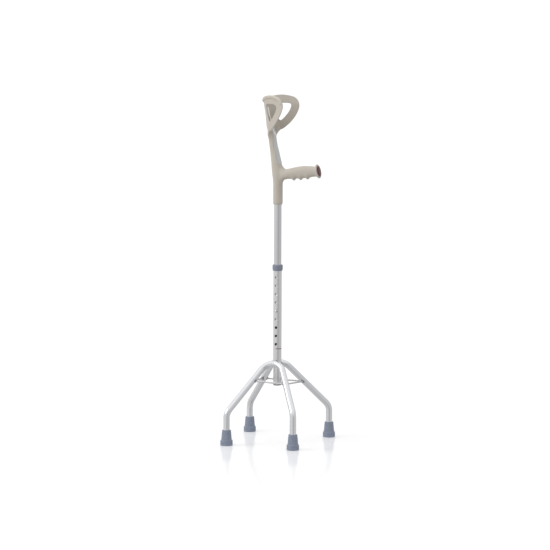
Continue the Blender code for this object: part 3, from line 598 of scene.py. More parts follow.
def tube_with_holes(radius, bore, z_low, z_high, holes, hole_r):
    """A vertical tube with round holes through its -Y side, each with a small broken edge, as one even mesh."""
    side, rest = 8, 44
    half_window = HOLE_PITCH / 2
    window = math.asin(min(0.98, 8.4 / radius))  # half the angle of the strip that holds the holes
    angles = [-math.pi / 2 - window + 2 * window * k / side for k in range(side + 1)]
    others = [angles[-1] + (2 * math.pi - 2 * window) * k / rest for k in range(1, rest)]
    ring_angles = angles + others
    levels = [z_low, z_low + 0.5]
    spans = []
    z = z_low + 0.5
    for h in sorted(holes):
        lo, hi = h - half_window, h + half_window
        if lo - z > 1:
            for k in range(1, max(2, int((lo - z) / 12) + 1) + 1):
                levels.append(z + (lo - z) * k / max(2, int((lo - z) / 12) + 1))
        spans.append(len(levels) - 1)
        levels += [lo + (hi - lo) * k / side for k in range(1, side + 1)]
        z = hi
    rest_n = max(2, int((z_high - 0.5 - z) / 12) + 1)
    levels += [z + (z_high - 0.5 - z) * k / rest_n for k in range(1, rest_n + 1)] + [z_high]
    verts, faces = [], []
    n = len(ring_angles)
    hole_rings = {}
    starts = []
    for r, outer in ((radius, True), (bore, False)):
        start = len(verts)
        starts.append(start)
        for i, zz in enumerate(levels):
            rr = r
            if i in (0, len(levels) - 1):
                rr = r - 0.35 if outer else r + 0.1
            verts += [(rr * math.cos(a), rr * math.sin(a), zz) for a in ring_angles]
        skip = {(row + k, col) for row in spans for k in range(side) for col in range(side)}
        for i in range(len(levels) - 1):
            for j in range(n):
                if (i, j) in skip:
                    continue
                k = (j + 1) % n
                quad = [start + i * n + j, start + i * n + k, start + (i + 1) * n + k, start + (i + 1) * n + j]
                faces.append(tuple(quad if outer else quad[::-1]))
        for number, row in enumerate(spans):
            border = [start + row * n + c for c in range(side + 1)]
            border += [start + (row + k) * n + side for k in range(1, side + 1)]
            border += [start + (row + side) * n + c for c in range(side - 1, -1, -1)]
            border += [start + (row + k) * n for k in range(side - 1, 0, -1)]
            centre = sorted(holes)[number]
            directions = []
            for b in border:
                x, zz = verts[b][0], verts[b][2] - centre
                directions.append(math.atan2(zz, x))
            last = border
            for size in ((6.4, 5.0, hole_r + 0.4) if outer else (6.4, 5.0, hole_r)):
                now = []
                for b, t in zip(border, directions):
                    x, zz = size * math.cos(t), size * math.sin(t)
                    now.append(len(verts))
                    verts.append((x, -math.sqrt(r * r - x * x), centre + zz))
                for q in range(len(border)):
                    w = (q + 1) % len(border)
                    quad = [last[q], last[w], now[w], now[q]]
                    faces.append(tuple(quad if outer else quad[::-1]))
                last = now
            if outer:
                now = []
                for t in directions:
                    x, zz = hole_r * math.cos(t), hole_r * math.sin(t)
                    now.append(len(verts))
                    verts.append((x, -math.sqrt(r * r - x * x) + 0.28, centre + zz))
                for q in range(len(border)):
                    w = (q + 1) % len(border)
                    faces.append((last[q], last[w], now[w], now[q]))
                last = now
            hole_rings[(outer, number)] = last
    for number in range(len(spans)):
        a, b = hole_rings[(True, number)], hole_rings[(False, number)]
        for q in range(len(a)):
            w = (q + 1) % len(a)
            faces.append((a[q], a[w], b[w], b[q]))
    low_i, top_o = starts[1], (len(levels) - 1) * n
    top_i = low_i + top_o
    for j in range(n):
        k = (j + 1) % n
        faces.append((j, low_i + j, low_i + k, k))
        faces.append((top_o + j, top_o + k, top_i + k, top_i + j))
    return verts, faces


# ---------------------------------------------------------------- materials
class Shader:
    """A Principled material with short ways to add nodes; coordinates are in metres in the row frame."""

    def __init__(self, name, rgb, roughness, metallic=0.0, **inputs):
        self.mat = bpy.data.materials.new(name)
        self.mat.use_nodes = True
        self.tree = self.mat.node_tree
        self.bsdf = self.tree.nodes["Principled BSDF"]
        self.bsdf.inputs["Base Color"].default_value = (*rgb, 1)
        self.bsdf.inputs["Roughness"].default_value = roughness
        self.bsdf.inputs["Metallic"].default_value = metallic
        for key, value in inputs.items():
            self.bsdf.inputs[key].default_value = value
        self.place = self.node("ShaderNodeTexCoord").outputs["Object"]
        self.mat.diffuse_color = (*rgb, 1)

    def node(self, kind, **settings):
        made = self.tree.nodes.new(kind)
        for key, value in settings.items():
            setattr(made, key, value)
        return made

    def link(self, a, b):
        self.tree.links.new(a, b)

    def attribute(self, name):
        return self.node("ShaderNodeAttribute", attribute_name=name).outputs

    def scaled(self, vector, scale, shift=(0, 0, 0)):
        m = self.node("ShaderNodeMapping")
        m.inputs["Scale"].default_value = scale
        m.inputs["Location"].default_value = shift
        self.link(vector, m.inputs["Vector"])
        return m.outputs["Vector"]

    def noise(self, vector, scale, detail=2.0, rough=0.5):
        n = self.node("ShaderNodeTexNoise")
        n.inputs["Scale"].default_value = scale
        n.inputs["Detail"].default_value = detail
        n.inputs["Roughness"].default_value = rough
        self.link(vector, n.inputs["Vector"])
        return n.outputs["Fac"]

    def spread(self, value, low, high, to_low, to_high):
        m = self.node("ShaderNodeMapRange")
        for key, number in (("From Min", low), ("From Max", high), ("To Min", to_low), ("To Max", to_high)):
            m.inputs[key].default_value = number
        self.link(value, m.inputs["Value"])
        return m.outputs["Result"]

    def math(self, operation, a, b):
        m = self.node("ShaderNodeMath", operation=operation)
        for socket, value in zip(m.inputs, (a, b)):
            if isinstance(value, (int, float)):
                socket.default_value = value
            else:
                self.link(value, socket)
        return m.outputs[0]

    def mix(self, factor, a, b):
        """Colour a where factor is 0, b where it is 1; either may be a socket."""
        m = self.node("ShaderNodeMix", data_type="RGBA")
        self.link(factor, m.inputs[0])
        for socket, value in ((m.inputs[6], a), (m.inputs[7], b)):
            if isinstance(value, tuple):
                socket.default_value = (*value, 1)
            else:
                self.link(value, socket)
        return m.outputs[2]

    def colour(self, socket):
        self.link(socket, self.bsdf.inputs["Base Color"])

    def roughness(self, socket):
        self.link(socket, self.bsdf.inputs["Roughness"])

    def bump(self, *heights):
        """Bumps as (height socket, distance in metres, strength), each on top of the one before."""
        last = None
        for height, distance, strength in heights:
            b = self.node("ShaderNodeBump")
            b.inputs["Strength"].default_value = strength
            b.inputs["Distance"].default_value = distance
            self.link(height, b.inputs["Height"])
            if last is not None:
                self.link(last, b.inputs["Normal"])
            last = b.outputs["Normal"]
        self.link(last, self.bsdf.inputs["Normal"])


def plastic_material():
    s = Shader("moulded_plastic", (0.50, 0.455, 0.395), 0.46)
    s.bsdf.inputs["Specular IOR Level"].default_value = 0.42
    broad = s.noise(s.place, 28.0, 3.0, 0.55)
    flow = s.noise(s.scaled(s.place, (160, 160, 45)), 1.0, 3.0, 0.6)
    tone = s.mix(s.spread(broad, 0.3, 0.7, 0, 1), (0.485, 0.440, 0.380), (0.515, 0.470, 0.410))
    tone = s.mix(s.spread(flow, 0.35, 0.75, 0, 0.35), tone, (0.53, 0.484, 0.42))
    edge = s.attribute("edge")["Fac"]
    # painted highlight on tight outer edges, then on the next line painted shade in creases, both read from the edge
    # curvature
    tone = s.mix(s.spread(edge, 0.58, 0.95, 0, 0.7), tone, (0.68, 0.65, 0.60))
    tone = s.mix(s.spread(edge, 0.42, 0.2, 0, 0.45), tone, (0.34, 0.305, 0.26))
    # painted highlight: a near-white line along the channel's lips and a lighter band on the cuff's inner top
    tone = s.mix(s.attribute("painted_highlight")["Fac"], tone, (0.92, 0.90, 0.86))
    # painted shade in the channel's recess and on the cuff's inner faces
    tone = s.mix(s.attribute("painted_shade")["Fac"], tone, (0.36, 0.325, 0.28))
    s.colour(tone)
    grain = s.noise(s.place, 2600.0, 2.0, 0.6)
    s.roughness(s.spread(s.math("ADD", grain, broad), 0.7, 1.3, 0.40, 0.54))
    s.bump((broad, 0.0009, 0.10), (grain, 0.00006, 0.35))
    return s.mat


def drawn_metal(name, rgb, low, high, streak, pits, dark=0.95):
    """Drawn tube: fine grain along it, read from the tube's own coordinates (round it, round it, along it)."""
    s = Shader(name, rgb, (low + high) / 2, 1.0)
    tube = s.attribute("tube")["Vector"]
    fine = s.noise(s.scaled(tube, (2600, 2600, 22)), 1.0, 3.0, 0.6)
    wide = s.noise(s.scaled(tube, (420, 420, 5)), 1.0, 2.0, 0.55)
    spots = s.noise(s.scaled(tube, (900, 900, 500)), 1.0, 4.0, 0.7)
    tone = s.mix(s.spread(wide, 0.3, 0.7, 0, 1), tuple(c * dark for c in rgb), tuple(min(1, c * 1.02) for c in rgb))
    tone = s.mix(s.spread(spots, 0.66, 0.78, 0, pits), tone, tuple(c * 0.55 for c in rgb))
    s.colour(tone)
    s.roughness(s.spread(s.math("ADD", fine, wide), 0.7, 1.3, low, high))
    s.bump((fine, 0.00003, streak), (wide, 0.0002, streak * 0.5))
    return s


def rubber_material(name, rgb):
    s = Shader(name, rgb, 0.62)
    s.bsdf.inputs["Specular IOR Level"].default_value = 0.35
    broad = s.noise(s.place, 120.0, 4.0, 0.6)
    grain = s.noise(s.place, 3200.0, 3.0, 0.7)
    tone = s.mix(s.spread(broad, 0.3, 0.7, 0, 1), tuple(c * 0.9 for c in rgb), tuple(c * 1.1 for c in rgb))
    height = s.node("ShaderNodeSeparateXYZ")
    s.link(s.place, height.inputs[0])
    scuff = s.noise(s.scaled(s.place, (260, 260, 900)), 1.0, 4.0, 0.65)
    low = s.spread(height.outputs[2], 0.0, 0.006, 1, 0)
    dust = s.math("MULTIPLY", s.spread(scuff, 0.45, 0.7, 0, 0.55), low)
    tone = s.mix(dust, tone, tuple(min(1, c * 1.7 + 0.03) for c in rgb))
    s.colour(tone)
    s.roughness(s.spread(broad, 0.3, 0.7, 0.55, 0.7))
    s.bump((broad, 0.0004, 0.12), (grain, 0.00005, 0.45))
    return s.mat


def weld_material():
    s = Shader("weld_metal", (0.42, 0.42, 0.44), 0.5, 1.0)
    soot = s.noise(s.place, 260.0, 4.0, 0.65)
    ripple = s.noise(s.place, 1500.0, 3.0, 0.6)
    tone = s.mix(s.spread(soot, 0.35, 0.65, 0, 1), (0.50, 0.50, 0.52), (0.16, 0.155, 0.16))
    s.colour(tone)
    s.roughness(s.spread(soot, 0.3, 0.7, 0.36, 0.7))
    s.bump((soot, 0.0006, 0.4), (ripple, 0.0002, 0.5))
    return s.mat


def plain_metal(name, rgb, low, high):
    s = Shader(name, rgb, (low + high) / 2, 1.0)
    n = s.noise(s.place, 900.0, 3.0, 0.6)
    m = s.noise(s.place, 120.0, 2.0, 0.5)
    s.colour(s.mix(s.spread(m, 0.3, 0.7, 0, 1), tuple(c * 0.88 for c in rgb), rgb))
    s.roughness(s.spread(n, 0.3, 0.7, low, high))
    s.bump((n, 0.00005, 0.25))
    return s.mat


def dark_plastic_material():
    s = Shader("dark_plastic", (0.045, 0.045, 0.05), 0.5)
    n = s.noise(s.place, 2200.0, 2.0, 0.6)
    m = s.noise(s.place, 90.0, 2.0, 0.5)
    s.colour(s.mix(s.spread(m, 0.3, 0.7, 0, 1), (0.04, 0.04, 0.045), (0.06, 0.06, 0.066)))
    s.roughness(s.spread(m, 0.3, 0.7, 0.45, 0.58))
    s.bump((n, 0.00006, 0.4))
    return s.mat


def reflector_material():
    s = Shader("maroon_reflector", (0.090, 0.010, 0.015), 0.3, **{"Coat Weight": 0.05, "Coat Roughness": 0.08})
    s.bsdf.inputs["Specular IOR Level"].default_value = 0.2
    m = s.noise(s.place, 260.0, 2.0, 0.5)
    s.colour(s.mix(s.spread(m, 0.3, 0.7, 0, 1), (0.066, 0.007, 0.011), (0.118, 0.013, 0.019)))
    s.roughness(s.spread(m, 0.3, 0.7, 0.22, 0.36))
    cells = s.node("ShaderNodeTexVoronoi", feature="F1")
    cells.inputs["Scale"].default_value = 620.0
    cells.inputs["Randomness"].default_value = 0.0
    s.link(s.place, cells.inputs["Vector"])
    s.bump((cells.outputs["Distance"], 0.0003, 0.35))
    return s.mat


def upper_tube_material():
    """The drawn tube, with painted shade where it shows through the lower tube's holes."""
    s = drawn_metal("upper_tube_aluminium", (0.645, 0.645, 0.66), 0.26, 0.34, 0.12, 0.08)
    base = s.bsdf.inputs["Base Color"].links[0].from_socket
    tube = s.node("ShaderNodeSeparateXYZ")
    s.link(s.attribute("tube")["Vector"], tube.inputs[0])
    # painted shade on the hidden part of the tube, one spot behind each hole of the lower tube
    step = s.math("MODULO", s.math("SUBTRACT", tube.outputs[2], (BUTTON_Z - 4.5 * HOLE_PITCH) * MM), HOLE_PITCH * MM)
    tall = s.math("ABSOLUTE", s.math("SUBTRACT", step, 0.5 * HOLE_PITCH * MM), 0.0)
    wide = s.math("ABSOLUTE", s.math("ADD", tube.outputs[0], 2.7 * MM), 0.0)
    hole_shade = s.math("MULTIPLY", s.spread(tall, 0.0018, 0.0034, 1, 0), s.spread(wide, 0.0008, 0.0020, 1, 0))
    hole_shade = s.math("MULTIPLY", hole_shade, s.spread(tube.outputs[1], 0.0, 0.002, 1, 0))
    hole_shade = s.math("MULTIPLY", hole_shade, s.spread(tube.outputs[2], 0.498, 0.506, 1, 0))
    s.colour(s.mix(s.math("MULTIPLY", hole_shade, 0.8), base, (0.10, 0.10, 0.105)))
    return s.mat


MATS = {
    "plastic": plastic_material(),
    "upper": upper_tube_material(),
    "leg": drawn_metal("leg_aluminium", (0.735, 0.742, 0.765), 0.17, 0.23, 0.06, 0.10).mat,
    "rod": drawn_metal("rod_aluminium", (0.58, 0.58, 0.59), 0.24, 0.34, 0.15, 0.3).mat,
    "rubber": rubber_material("ferrule_rubber", (0.230, 0.262, 0.338)),
    "collar": rubber_material("collar_plastic", (0.230, 0.250, 0.315)),
    "weld": weld_material(),
    "steel": plain_metal("bright_steel", (0.62, 0.62, 0.63), 0.22, 0.36),
    "button": plain_metal("button_steel", (0.80, 0.80, 0.81), 0.10, 0.2),
    "dark": dark_plastic_material(),
    "reflector": reflector_material(),
}


def lower_tube_material():
    """The drawn tube with one thin dark-red line half round it."""
    s = drawn_metal("lower_tube_aluminium", (0.70, 0.70, 0.71), 0.25, 0.33, 0.12, 0.08)
    base = s.bsdf.inputs["Base Color"].links[0].from_socket
    height = s.node("ShaderNodeSeparateXYZ")
    s.link(s.place, height.inputs[0])
    off = s.math("ABSOLUTE", s.math("SUBTRACT", height.outputs[2], 0.2790), 0.0)
    ink = s.noise(s.place, 900.0, 2.0, 0.5)
    line = s.math("MULTIPLY", s.spread(off, 0.0009, 0.0012, 1, 0), s.spread(ink, 0.2, 0.45, 0.75, 1))
    round_ = s.node("ShaderNodeSeparateXYZ")
    s.link(s.attribute("tube")["Vector"], round_.inputs[0])
    line = s.math("MULTIPLY", line, s.spread(round_.outputs[0], -0.002, 0.002, 0.1, 1))
    s.colour(s.mix(line, base, (0.16, 0.028, 0.03)))
    metal = s.spread(line, 0.0, 1.0, 1.0, 0.1)
    s.link(metal, s.bsdf.inputs["Metallic"])
    return s.mat


MATS["lower"] = lower_tube_material()


def insert_material():
    """Satin drawn metal, with a painted highlight on its cut rim and dull inside."""
    s = drawn_metal("insert_aluminium", (0.60, 0.61, 0.61), 0.36, 0.46, 0.12, 0.1)
    base = s.bsdf.inputs["Base Color"].links[0].from_socket
    inside = s.attribute("inside")["Fac"]
    # painted highlight: near-white where the inside mask is one half, on the near side of the cut rim
    rim = s.spread(s.math("ABSOLUTE", s.math("SUBTRACT", inside, 0.5), 0.0), 0.1, 0.3, 1, 0)
    tone = s.mix(rim, base, (0.90, 0.90, 0.89))
    s.colour(s.mix(s.spread(inside, 0.7, 0.95, 0, 1), tone, (0.60, 0.60, 0.59)))
    s.link(s.spread(inside, 0.15, 0.45, 1.0, 0.15), s.bsdf.inputs["Metallic"])
    return s.mat


MATS["insert"] = insert_material()


# ------------------------------------------------------------------- pieces
def add_tube_coordinates(obj, vectors):
    """vectors, in mm, as the mesh's own coordinates: round the tube, round the tube, along it."""
    layer = obj.data.attributes.new("tube", "FLOAT_VECTOR", "POINT")
    layer.data.foreach_set("vector", (np.asarray(vectors, float) * MM).astype(np.float32).ravel())


def upright_coordinates(obj):
    co = np.array([v.co for v in obj.data.vertices]) / MM - np.array([STEM_X, 0, 0])
    add_tube_coordinates(obj, co)


def path_coordinates(path, radius, steps):
    points = np.array([tuple(p) for p in path])
    far = np.concatenate([[0], np.cumsum(np.linalg.norm(np.diff(points, axis=0), axis=1))])
    a = 2 * math.pi * np.arange(steps) / steps
    return np.concatenate([np.stack([radius * np.cos(a), radius * np.sin(a), np.full(steps, f)], 1) for f in far])


def near_path(points, path):
    """Distance from each point to a polyline."""
    best = np.full(len(points), 1e9)
    for a, b in zip(path, path[1:]):
        a, b = np.array(a, float), np.array(b, float)
        e = b - a
        t = np.clip(((points - a) @ e) / (e @ e), 0, 1)
        best = np.minimum(best, np.linalg.norm(points - a - t[:, None] * e, axis=1))
    return best


def edge_attribute(obj):
    """Per point, 0.5 on flat or evenly curved skin, up to 1 on tight outer edges and down to 0 in creases."""
    mesh = obj.data
    co = np.empty(len(mesh.vertices) * 3, np.float32)
    mesh.vertices.foreach_get("co", co)
    co = co.reshape(-1, 3).astype(float)
    ends = np.empty(len(mesh.edges) * 2, np.int32)
    mesh.edges.foreach_get("vertices", ends)
    ends = ends.reshape(-1, 2)
    normal = np.empty(len(mesh.vertices) * 3, np.float32)
    mesh.vertices.foreach_get("normal", normal)
    normal = normal.reshape(-1, 3)
    total, count = np.zeros_like(co), np.zeros(len(co))
    for a, b in ((0, 1), (1, 0)):
        np.add.at(total, ends[:, a], co[ends[:, b]] - co[ends[:, a]])
        np.add.at(count, ends[:, a], 1)
    bend = -((total / count[:, None]) * normal).sum(1) / MM
    for _ in range(3):
        mean = np.zeros(len(co))
        for a, b in ((0, 1), (1, 0)):
            np.add.at(mean, ends[:, a], bend[ends[:, b]])
        bend = 0.5 * bend + 0.5 * mean / count
    layer = mesh.attributes.new("edge", "FLOAT", "POINT")
    layer.data.foreach_set("value", np.clip(0.5 + bend * 2.2, 0, 1).astype(np.float32))


def make_moulding():
    shape = Moulding()
    cell = 1.1
    verts, faces = surface(shape, (-56, -68, 705), (138, 68, 1035), cell)
    obj = piece("hand_grip_and_cuff_moulding", verts, faces, MATS["plastic"], "upper", ["handle_and_cuff"])
    edge_attribute(obj)
    x, y, z = verts.T
    outer = shape.cuff(x, y, z)[1]
    reach = np.interp(z, [950, 966, 975, 990], [8.0, 7.0, 5.0, 3.2])
    # painted highlight along the channel's lips, where their edges catch the light
    painted_highlight = ramp(x - shape.lips(z) + reach, -0.6, 0.6) * ramp(np.abs(y), 11.6, 10.8) * ramp(np.abs(y), 5.8, 6.8) * ramp(z, 944, 950) * ramp(z, 999, 994)
    painted_highlight *= ramp(outer, -1.6, -2.4)
    # painted shade deep in the channel behind the lips
    painted_shade = ramp(shape.lips(z) - x, 0.6, 1.6) * ramp(np.abs(y), 8.2, 7.2) * ramp(z, 935, 945) * (1 - ramp(z, 999, 1003))
    painted_shade *= ramp(x - shape.back(z), 0.4, 1.2)
    inner = outer < -2.2
    # painted light on the cuff's inner face near its top edge
    painted_highlight = np.maximum(painted_highlight, 0.13 * inner * ramp(z, 1000, 1012))
    # painted shade on the lower and far inner faces of the cuff
    painted_shade = np.maximum(painted_shade, 0.40 * inner * ramp(z, 962, 938) * ramp(z, 912, 920) * ramp(np.abs(y), 12.0, 14.0))
    painted_shade = np.maximum(painted_shade, 0.28 * inner * ramp(z, 998, 978) * ramp(z, 930, 940) * ramp(y, 9.0, 12.0) * ramp(y, 38.0, 30.0))
    for name, value in (("painted_highlight", painted_highlight), ("painted_shade", painted_shade)):
        obj.data.attributes.new(name, "FLOAT", "POINT").data.foreach_set("value", value.astype(np.float32))
    return shape


def make_insert(shape):
    """The metal insert: an oval tube whose top end is cut at a slant, with a painted highlight on the near side of its
    wall.
    """
    steps, rows, wall = 96, 90, 4.2
    a = 2 * math.pi * np.arange(steps) / steps
    ca, sa = (np.sign(f) * np.abs(f) ** 0.8 for f in (np.cos(a), np.sin(a)))

    def at(z, shrink):
        back = shape.back(z) + WEB + GAP + shrink
        front = np.where(z < 832, 11.2 - np.where(z < 826, 0.06 * (826 - z), 0), shape.insert_front(z)) - shrink
        return (front + back) / 2 + (front - back) / 2 * ca, (CHANNEL_HALF_W - GAP - shrink) * sa

    def cut_height(shrink):
        z = np.full(steps, 925.0)
        for _ in range(30):
            x, _y = at(z, shrink)
            z = 0.6 * z + 0.4 * np.minimum(941.0, 929.7 - 2.75 * (x + 12.6))
        return z

    rings, coords, inside = [], [], []
    for shrink, order in ((0.0, 1), (0.35, 0), (wall - 0.35, 0), (wall, -1)):
        top = cut_height(shrink)
        levels = np.linspace(0, 1, rows) if order else [1.0]
        levels = levels[::-1] if order == -1 else levels
        for f in levels:
            z = 803.0 + (top - 803.0) * f + (0.3 if order == 0 else 0.0)
            x, y = at(z, shrink)
            rings.append(np.stack([x, y, z], 1))
            coords.append(np.stack([10 * np.cos(a), 10 * np.sin(a), z], 1))
            # the near side of the cut rim and a band below it get the painted highlight; the far side of the rim takes
            # the inside tone
            near = (y < 3.0) * ramp(z, 912.0, 918.0) * ramp(z, 936.0, 932.5)
            band = np.interp(z, [916, 926], [2.6, 5.6])
            inside.append({1: 0.5 * ramp(top - z, band + 0.7, band - 0.7) * near, 0: np.where(y < 3.0, 1.0 - 0.5 * near, 1.0), -1: np.ones(steps)}[order])
    verts, faces = skin(rings, closed=True)
    obj = piece("metal_stem_insert", verts, faces, MATS["insert"], "upper", ["stem_insert"], sharp=50)
    add_tube_coordinates(obj, np.concatenate(coords))
    obj.data.attributes.new("inside", "FLOAT", "POINT").data.foreach_set("value", np.concatenate(inside).astype(np.float32))


def end_frame():
    turn = Matrix.Rotation(math.pi / 2 - FLANGE_TILT, 3, "Y")
    return np.array(turn), (FLANGE_AT[0], 0, FLANGE_AT[1])


def make_grip_end():
    turn, at = end_frame()
    profile = rounded([(0, -13), (9.0, -13), (9.3, -2.3), (17.6, -2.3), (17.7, 0.55), (16.7, 1.0), (15.75, 0.7),
                       (15.7, -0.7), (0, -0.7)], [0, 0.8, 0.3, 0.2, 0.6, 0.5, 0.3, 0.1, 0], 4)
    verts, faces = turned(profile, 96, at, turn)
    piece("grip_end_ring", verts, faces, MATS["plastic"], "upper", ["grip_end_cap"], sharp=50)
    dome = [(r, 2.15 - 1.15 * (r / 15.2) ** 2) for r in np.linspace(0, 1, 16)[::-1] * 12.4]
    profile = [(0, -0.4), (15.1, -0.4), (15.4, -0.1), (15.4, 0.5), (15.2, 0.85), (14.4, 1.15), (13.2, 1.2), (12.9, 1.05),
               (12.65, 1.05)] + dome
    verts, faces = turned(profile, 96, at, turn)
    piece("grip_end_disc", verts, faces, MATS["reflector"], "upper", ["grip_end_reflector"], sharp=50)


def make_tubes():
    holes = [BUTTON_Z + k * HOLE_PITCH for k in range(-4, 5)]
    verts, faces = tube_with_holes(LOWER_R, LOWER_BORE, *LOWER_Z, holes, HOLE_R)
    obj = piece("lower_stem_tube", verts, faces, MATS["lower"], "base", ["lower_tube"], sharp=35)
    upright_coordinates(obj)
    verts, faces = tube_with_holes(UPPER_R, UPPER_BORE, *UPPER_Z, [BUTTON_Z], HOLE_R)
    obj = piece("upper_stem_tube", verts, faces, MATS["upper"], "upper", ["upper_tube"], sharp=35)
    upright_coordinates(obj)


def make_collar():
    low, high = COLLAR_Z
    fit = LOWER_R + GAP
    profile = rounded(
        [(fit, low), (14.2, low), (14.8, low + 3.9), (COLLAR_R, low + 5.0), (COLLAR_R, high - 1.9), (COLLAR_R - 1.6, high),
         (UPPER_R + GAP, high), (UPPER_R + GAP, LOWER_Z[1] + GAP), (fit, LOWER_Z[1] + GAP)],
        [0, 0.5, 0.5, 0.4, 1.0, 0.8, 0.3, 0, 0], 4)
    verts, faces = turned(profile, 96)
    piece("tube_guide_collar", verts, faces, MATS["collar"], "base", ["guide_collar"], sharp=50)


def make_ferrules():
    profile = rounded(
        [(0, 1.0), (4.5, 1.0), (4.5, 0.0), (6.5, 0.0), (6.5, 1.2), (8.5, 1.2), (8.5, 0.0), (10.5, 0.0), (10.5, 1.2), (12.5, 1.2),
         (12.5, 0.0), (17.6, 0.0), (18.5, 1.6), (18.45, 7.0), (18.2, 14.0), (17.1, 15.7), (15.9, 16.1), (15.45, 18.5),
         (13.25, 43.2), (13.35, 44.4), (12.5, 45.6), (LEG_R + 0.5, 45.6), (LEG_R + GAP, 44.6), (LEG_R + GAP, FERRULE_FLOOR),
         (0, FERRULE_FLOOR)],
        [0, 0, 0.3, 0.3, 0, 0, 0.3, 0.3, 0, 0, 0.3, 0.8, 0.8, 3, 1.0, 0.6, 0.9, 1.2, 0.6, 0.6, 0.8, 0.3, 0.3, 0, 0], 4)
    for side, sign in (("right", -1), ("left", 1)):
        for place, x in zip(("rear", "front"), FEET_X[side]):
            verts, faces = turned(profile, 96, (x, sign * FOOT_Y, 0))
            piece(f"{side}_{place}_rubber_ferrule", verts, faces, MATS["rubber"], "base",
                  [f"{side}_{place}_ferrule"], sharp=50)


def make_base():
    steps = 44
    paths = {}
    for side in ("right", "left"):
        path = hoop_path(side, math.radians(3.2))
        paths[side] = path
        outer, bore = pipe_rings(path, LEG_R, steps), pipe_rings(path, LEG_BORE, steps)
        verts, faces = skin(outer + bore[::-1], closed=True)
        obj = piece(f"{side}_bent_leg_hoop", verts, faces, MATS["leg"], "base", [f"{side}_leg_hoop"], sharp=50)
        near = path_coordinates(path, LEG_R, steps)
        add_tube_coordinates(obj, np.concatenate([near, near.reshape(len(path), steps, 3)[::-1].reshape(-1, 3)]))
    coarse = {side: hoop_path(side, math.radians(13)) for side in paths}
    ends = {key: on_limb(coarse[key.split("_")[0]], z, key.endswith("front")) for key, z in ROD_Z.items()}
    rods = {}
    for name, a, b in (("right", "right_rear", "right_front"), ("front", "right_front", "left_front"),
                       ("left", "left_front", "left_rear"), ("rear", "left_rear", "right_rear")):
        p, q = ends[a], ends[b]
        u = (q - p).normalized()
        first, last = p + u * (LEG_R - 1.5), q - u * (LEG_R - 1.5)
        line = [first.lerp(last, k / 24) for k in range(25)]
        verts, faces = skin(pipe_rings(line, ROD_R, 24))
        obj = piece(f"{name}_tie_rod", verts, faces, MATS["rod"], "base", [f"{name}_brace_rod"], sharp=50)
        add_tube_coordinates(obj, path_coordinates(line, ROD_R, 24))
        rods[(a, b)] = [tuple(p), tuple(q)]
    weld_cell = 0.5

    # the bead where each hoop's bend meets the stem
    for side, sign in (("right", -1), ("left", 1)):
        path = [p for p in paths[side] if abs(p.z - HOOP_TOP_Z) < 60]

        def bead(p, path=path, sign=sign):
            ds = np.hypot(p[:, 0], p[:, 1]) - LOWER_R
            dh = near_path(p, path) - LEG_R
            angle = np.arctan2(p[:, 2] - HOOP_TOP_Z, p[:, 0] - HOOP_TOP_X)
            ripple = 0.16 * np.cos(angle * 24 + 1.3 * np.sin(angle * 3))
            d = smin(ds, dh, 8.0) - (0.9 + ripple) * np.exp(-(((ds - dh) / 3.0) ** 2))
            d = smax(d, np.maximum(ds, dh) - 3.6, 1.2)
            return np.maximum(np.maximum(d, -(ds + 0.4)), -(dh + 0.6))

        low = (-22, -30 if sign < 0 else 2, HOOP_TOP_Z - 22)
        high = (18, -2 if sign < 0 else 30, HOOP_TOP_Z + 18)
        verts, faces = surface(bead, low, high, weld_cell, settle=3)
        piece(f"{side}_hoop_weld_bead", verts, faces, MATS["weld"], "base", [f"{side}_hoop_weld"])

    # the small beads at the rods' ends, two rods to a limb
    for key, at in ends.items():
        side = key.split("_")[0]
        path = [p for p in paths[side] if (p - at).length < 60 or True]
        near = min(range(len(path) - 1), key=lambda i: (path[i].lerp(path[i + 1], 0.5) - at).length)
        path = path[max(0, near - 3):near + 5]
        mine = [line for pair, line in rods.items() if key in pair]

        def bead(p, path=path, mine=mine, at=at):
            dl = near_path(p, path) - LEG_R
            dr = np.minimum(*[near_path(p, line) for line in mine]) - ROD_R
            swirl = 0.12 * np.sin(p[:, 2] * 2.1 + p[:, 0] * 0.9)
            d = smin(dl, dr, 4.5) - (0.8 + swirl) * np.exp(-(((dl - dr) / 1.8) ** 2))
            d = smax(d, np.maximum(dl, dr) - 2.5, 1.0)
            return np.maximum(d, -(dl + 0.6))

        low, high = np.array(at) - 17, np.array(at) + 17
        verts, faces = surface(bead, low, high, weld_cell, settle=3)
        piece(f"{key}_rod_weld_bead", verts, faces, MATS["weld"], "base")


def make_button():
    dome = [(3.35 * math.cos(a), 13.1 + 2.3 * math.sin(a)) for a in np.linspace(0, math.pi / 2, 12)[:-1]]
    profile = [(0, 7.1), (4.4, 7.1), (4.6, 7.3), (4.6, 8.1), (4.4, 8.3), (3.35, 8.3)] + dome + [(0, 15.4)]
    turn = np.array(Matrix.Rotation(math.pi / 2, 3, "X"))
    verts, faces = turned(profile, 64, (0, 0, BUTTON_Z), turn)
    piece("sprung_button", verts, faces, MATS["button"], "button", ["snap_button"], sharp=50)


shape = make_moulding()
make_insert(shape)
make_grip_end()
make_tubes()
make_collar()
make_ferrules()
make_base()
make_button()

for node, mat in (("lower_tube_plug", "dark"), ("upper_tube_bush", "dark"), ("button_spring", "steel"),
                  ("right_rear_ferrule_washer", "steel"), ("right_front_ferrule_washer", "steel"),
                  ("left_rear_ferrule_washer", "steel"), ("left_front_ferrule_washer", "steel")):
    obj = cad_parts[node]
    obj.data.materials.clear()
    obj.data.materials.append(MATS[mat])


# -------------------------------------------------------- camera and studio
def aim(obj, at):
    obj.rotation_mode = "QUATERNION"
    obj.rotation_quaternion = (Vector(at) - obj.location).to_track_quat("-Z", "Y")


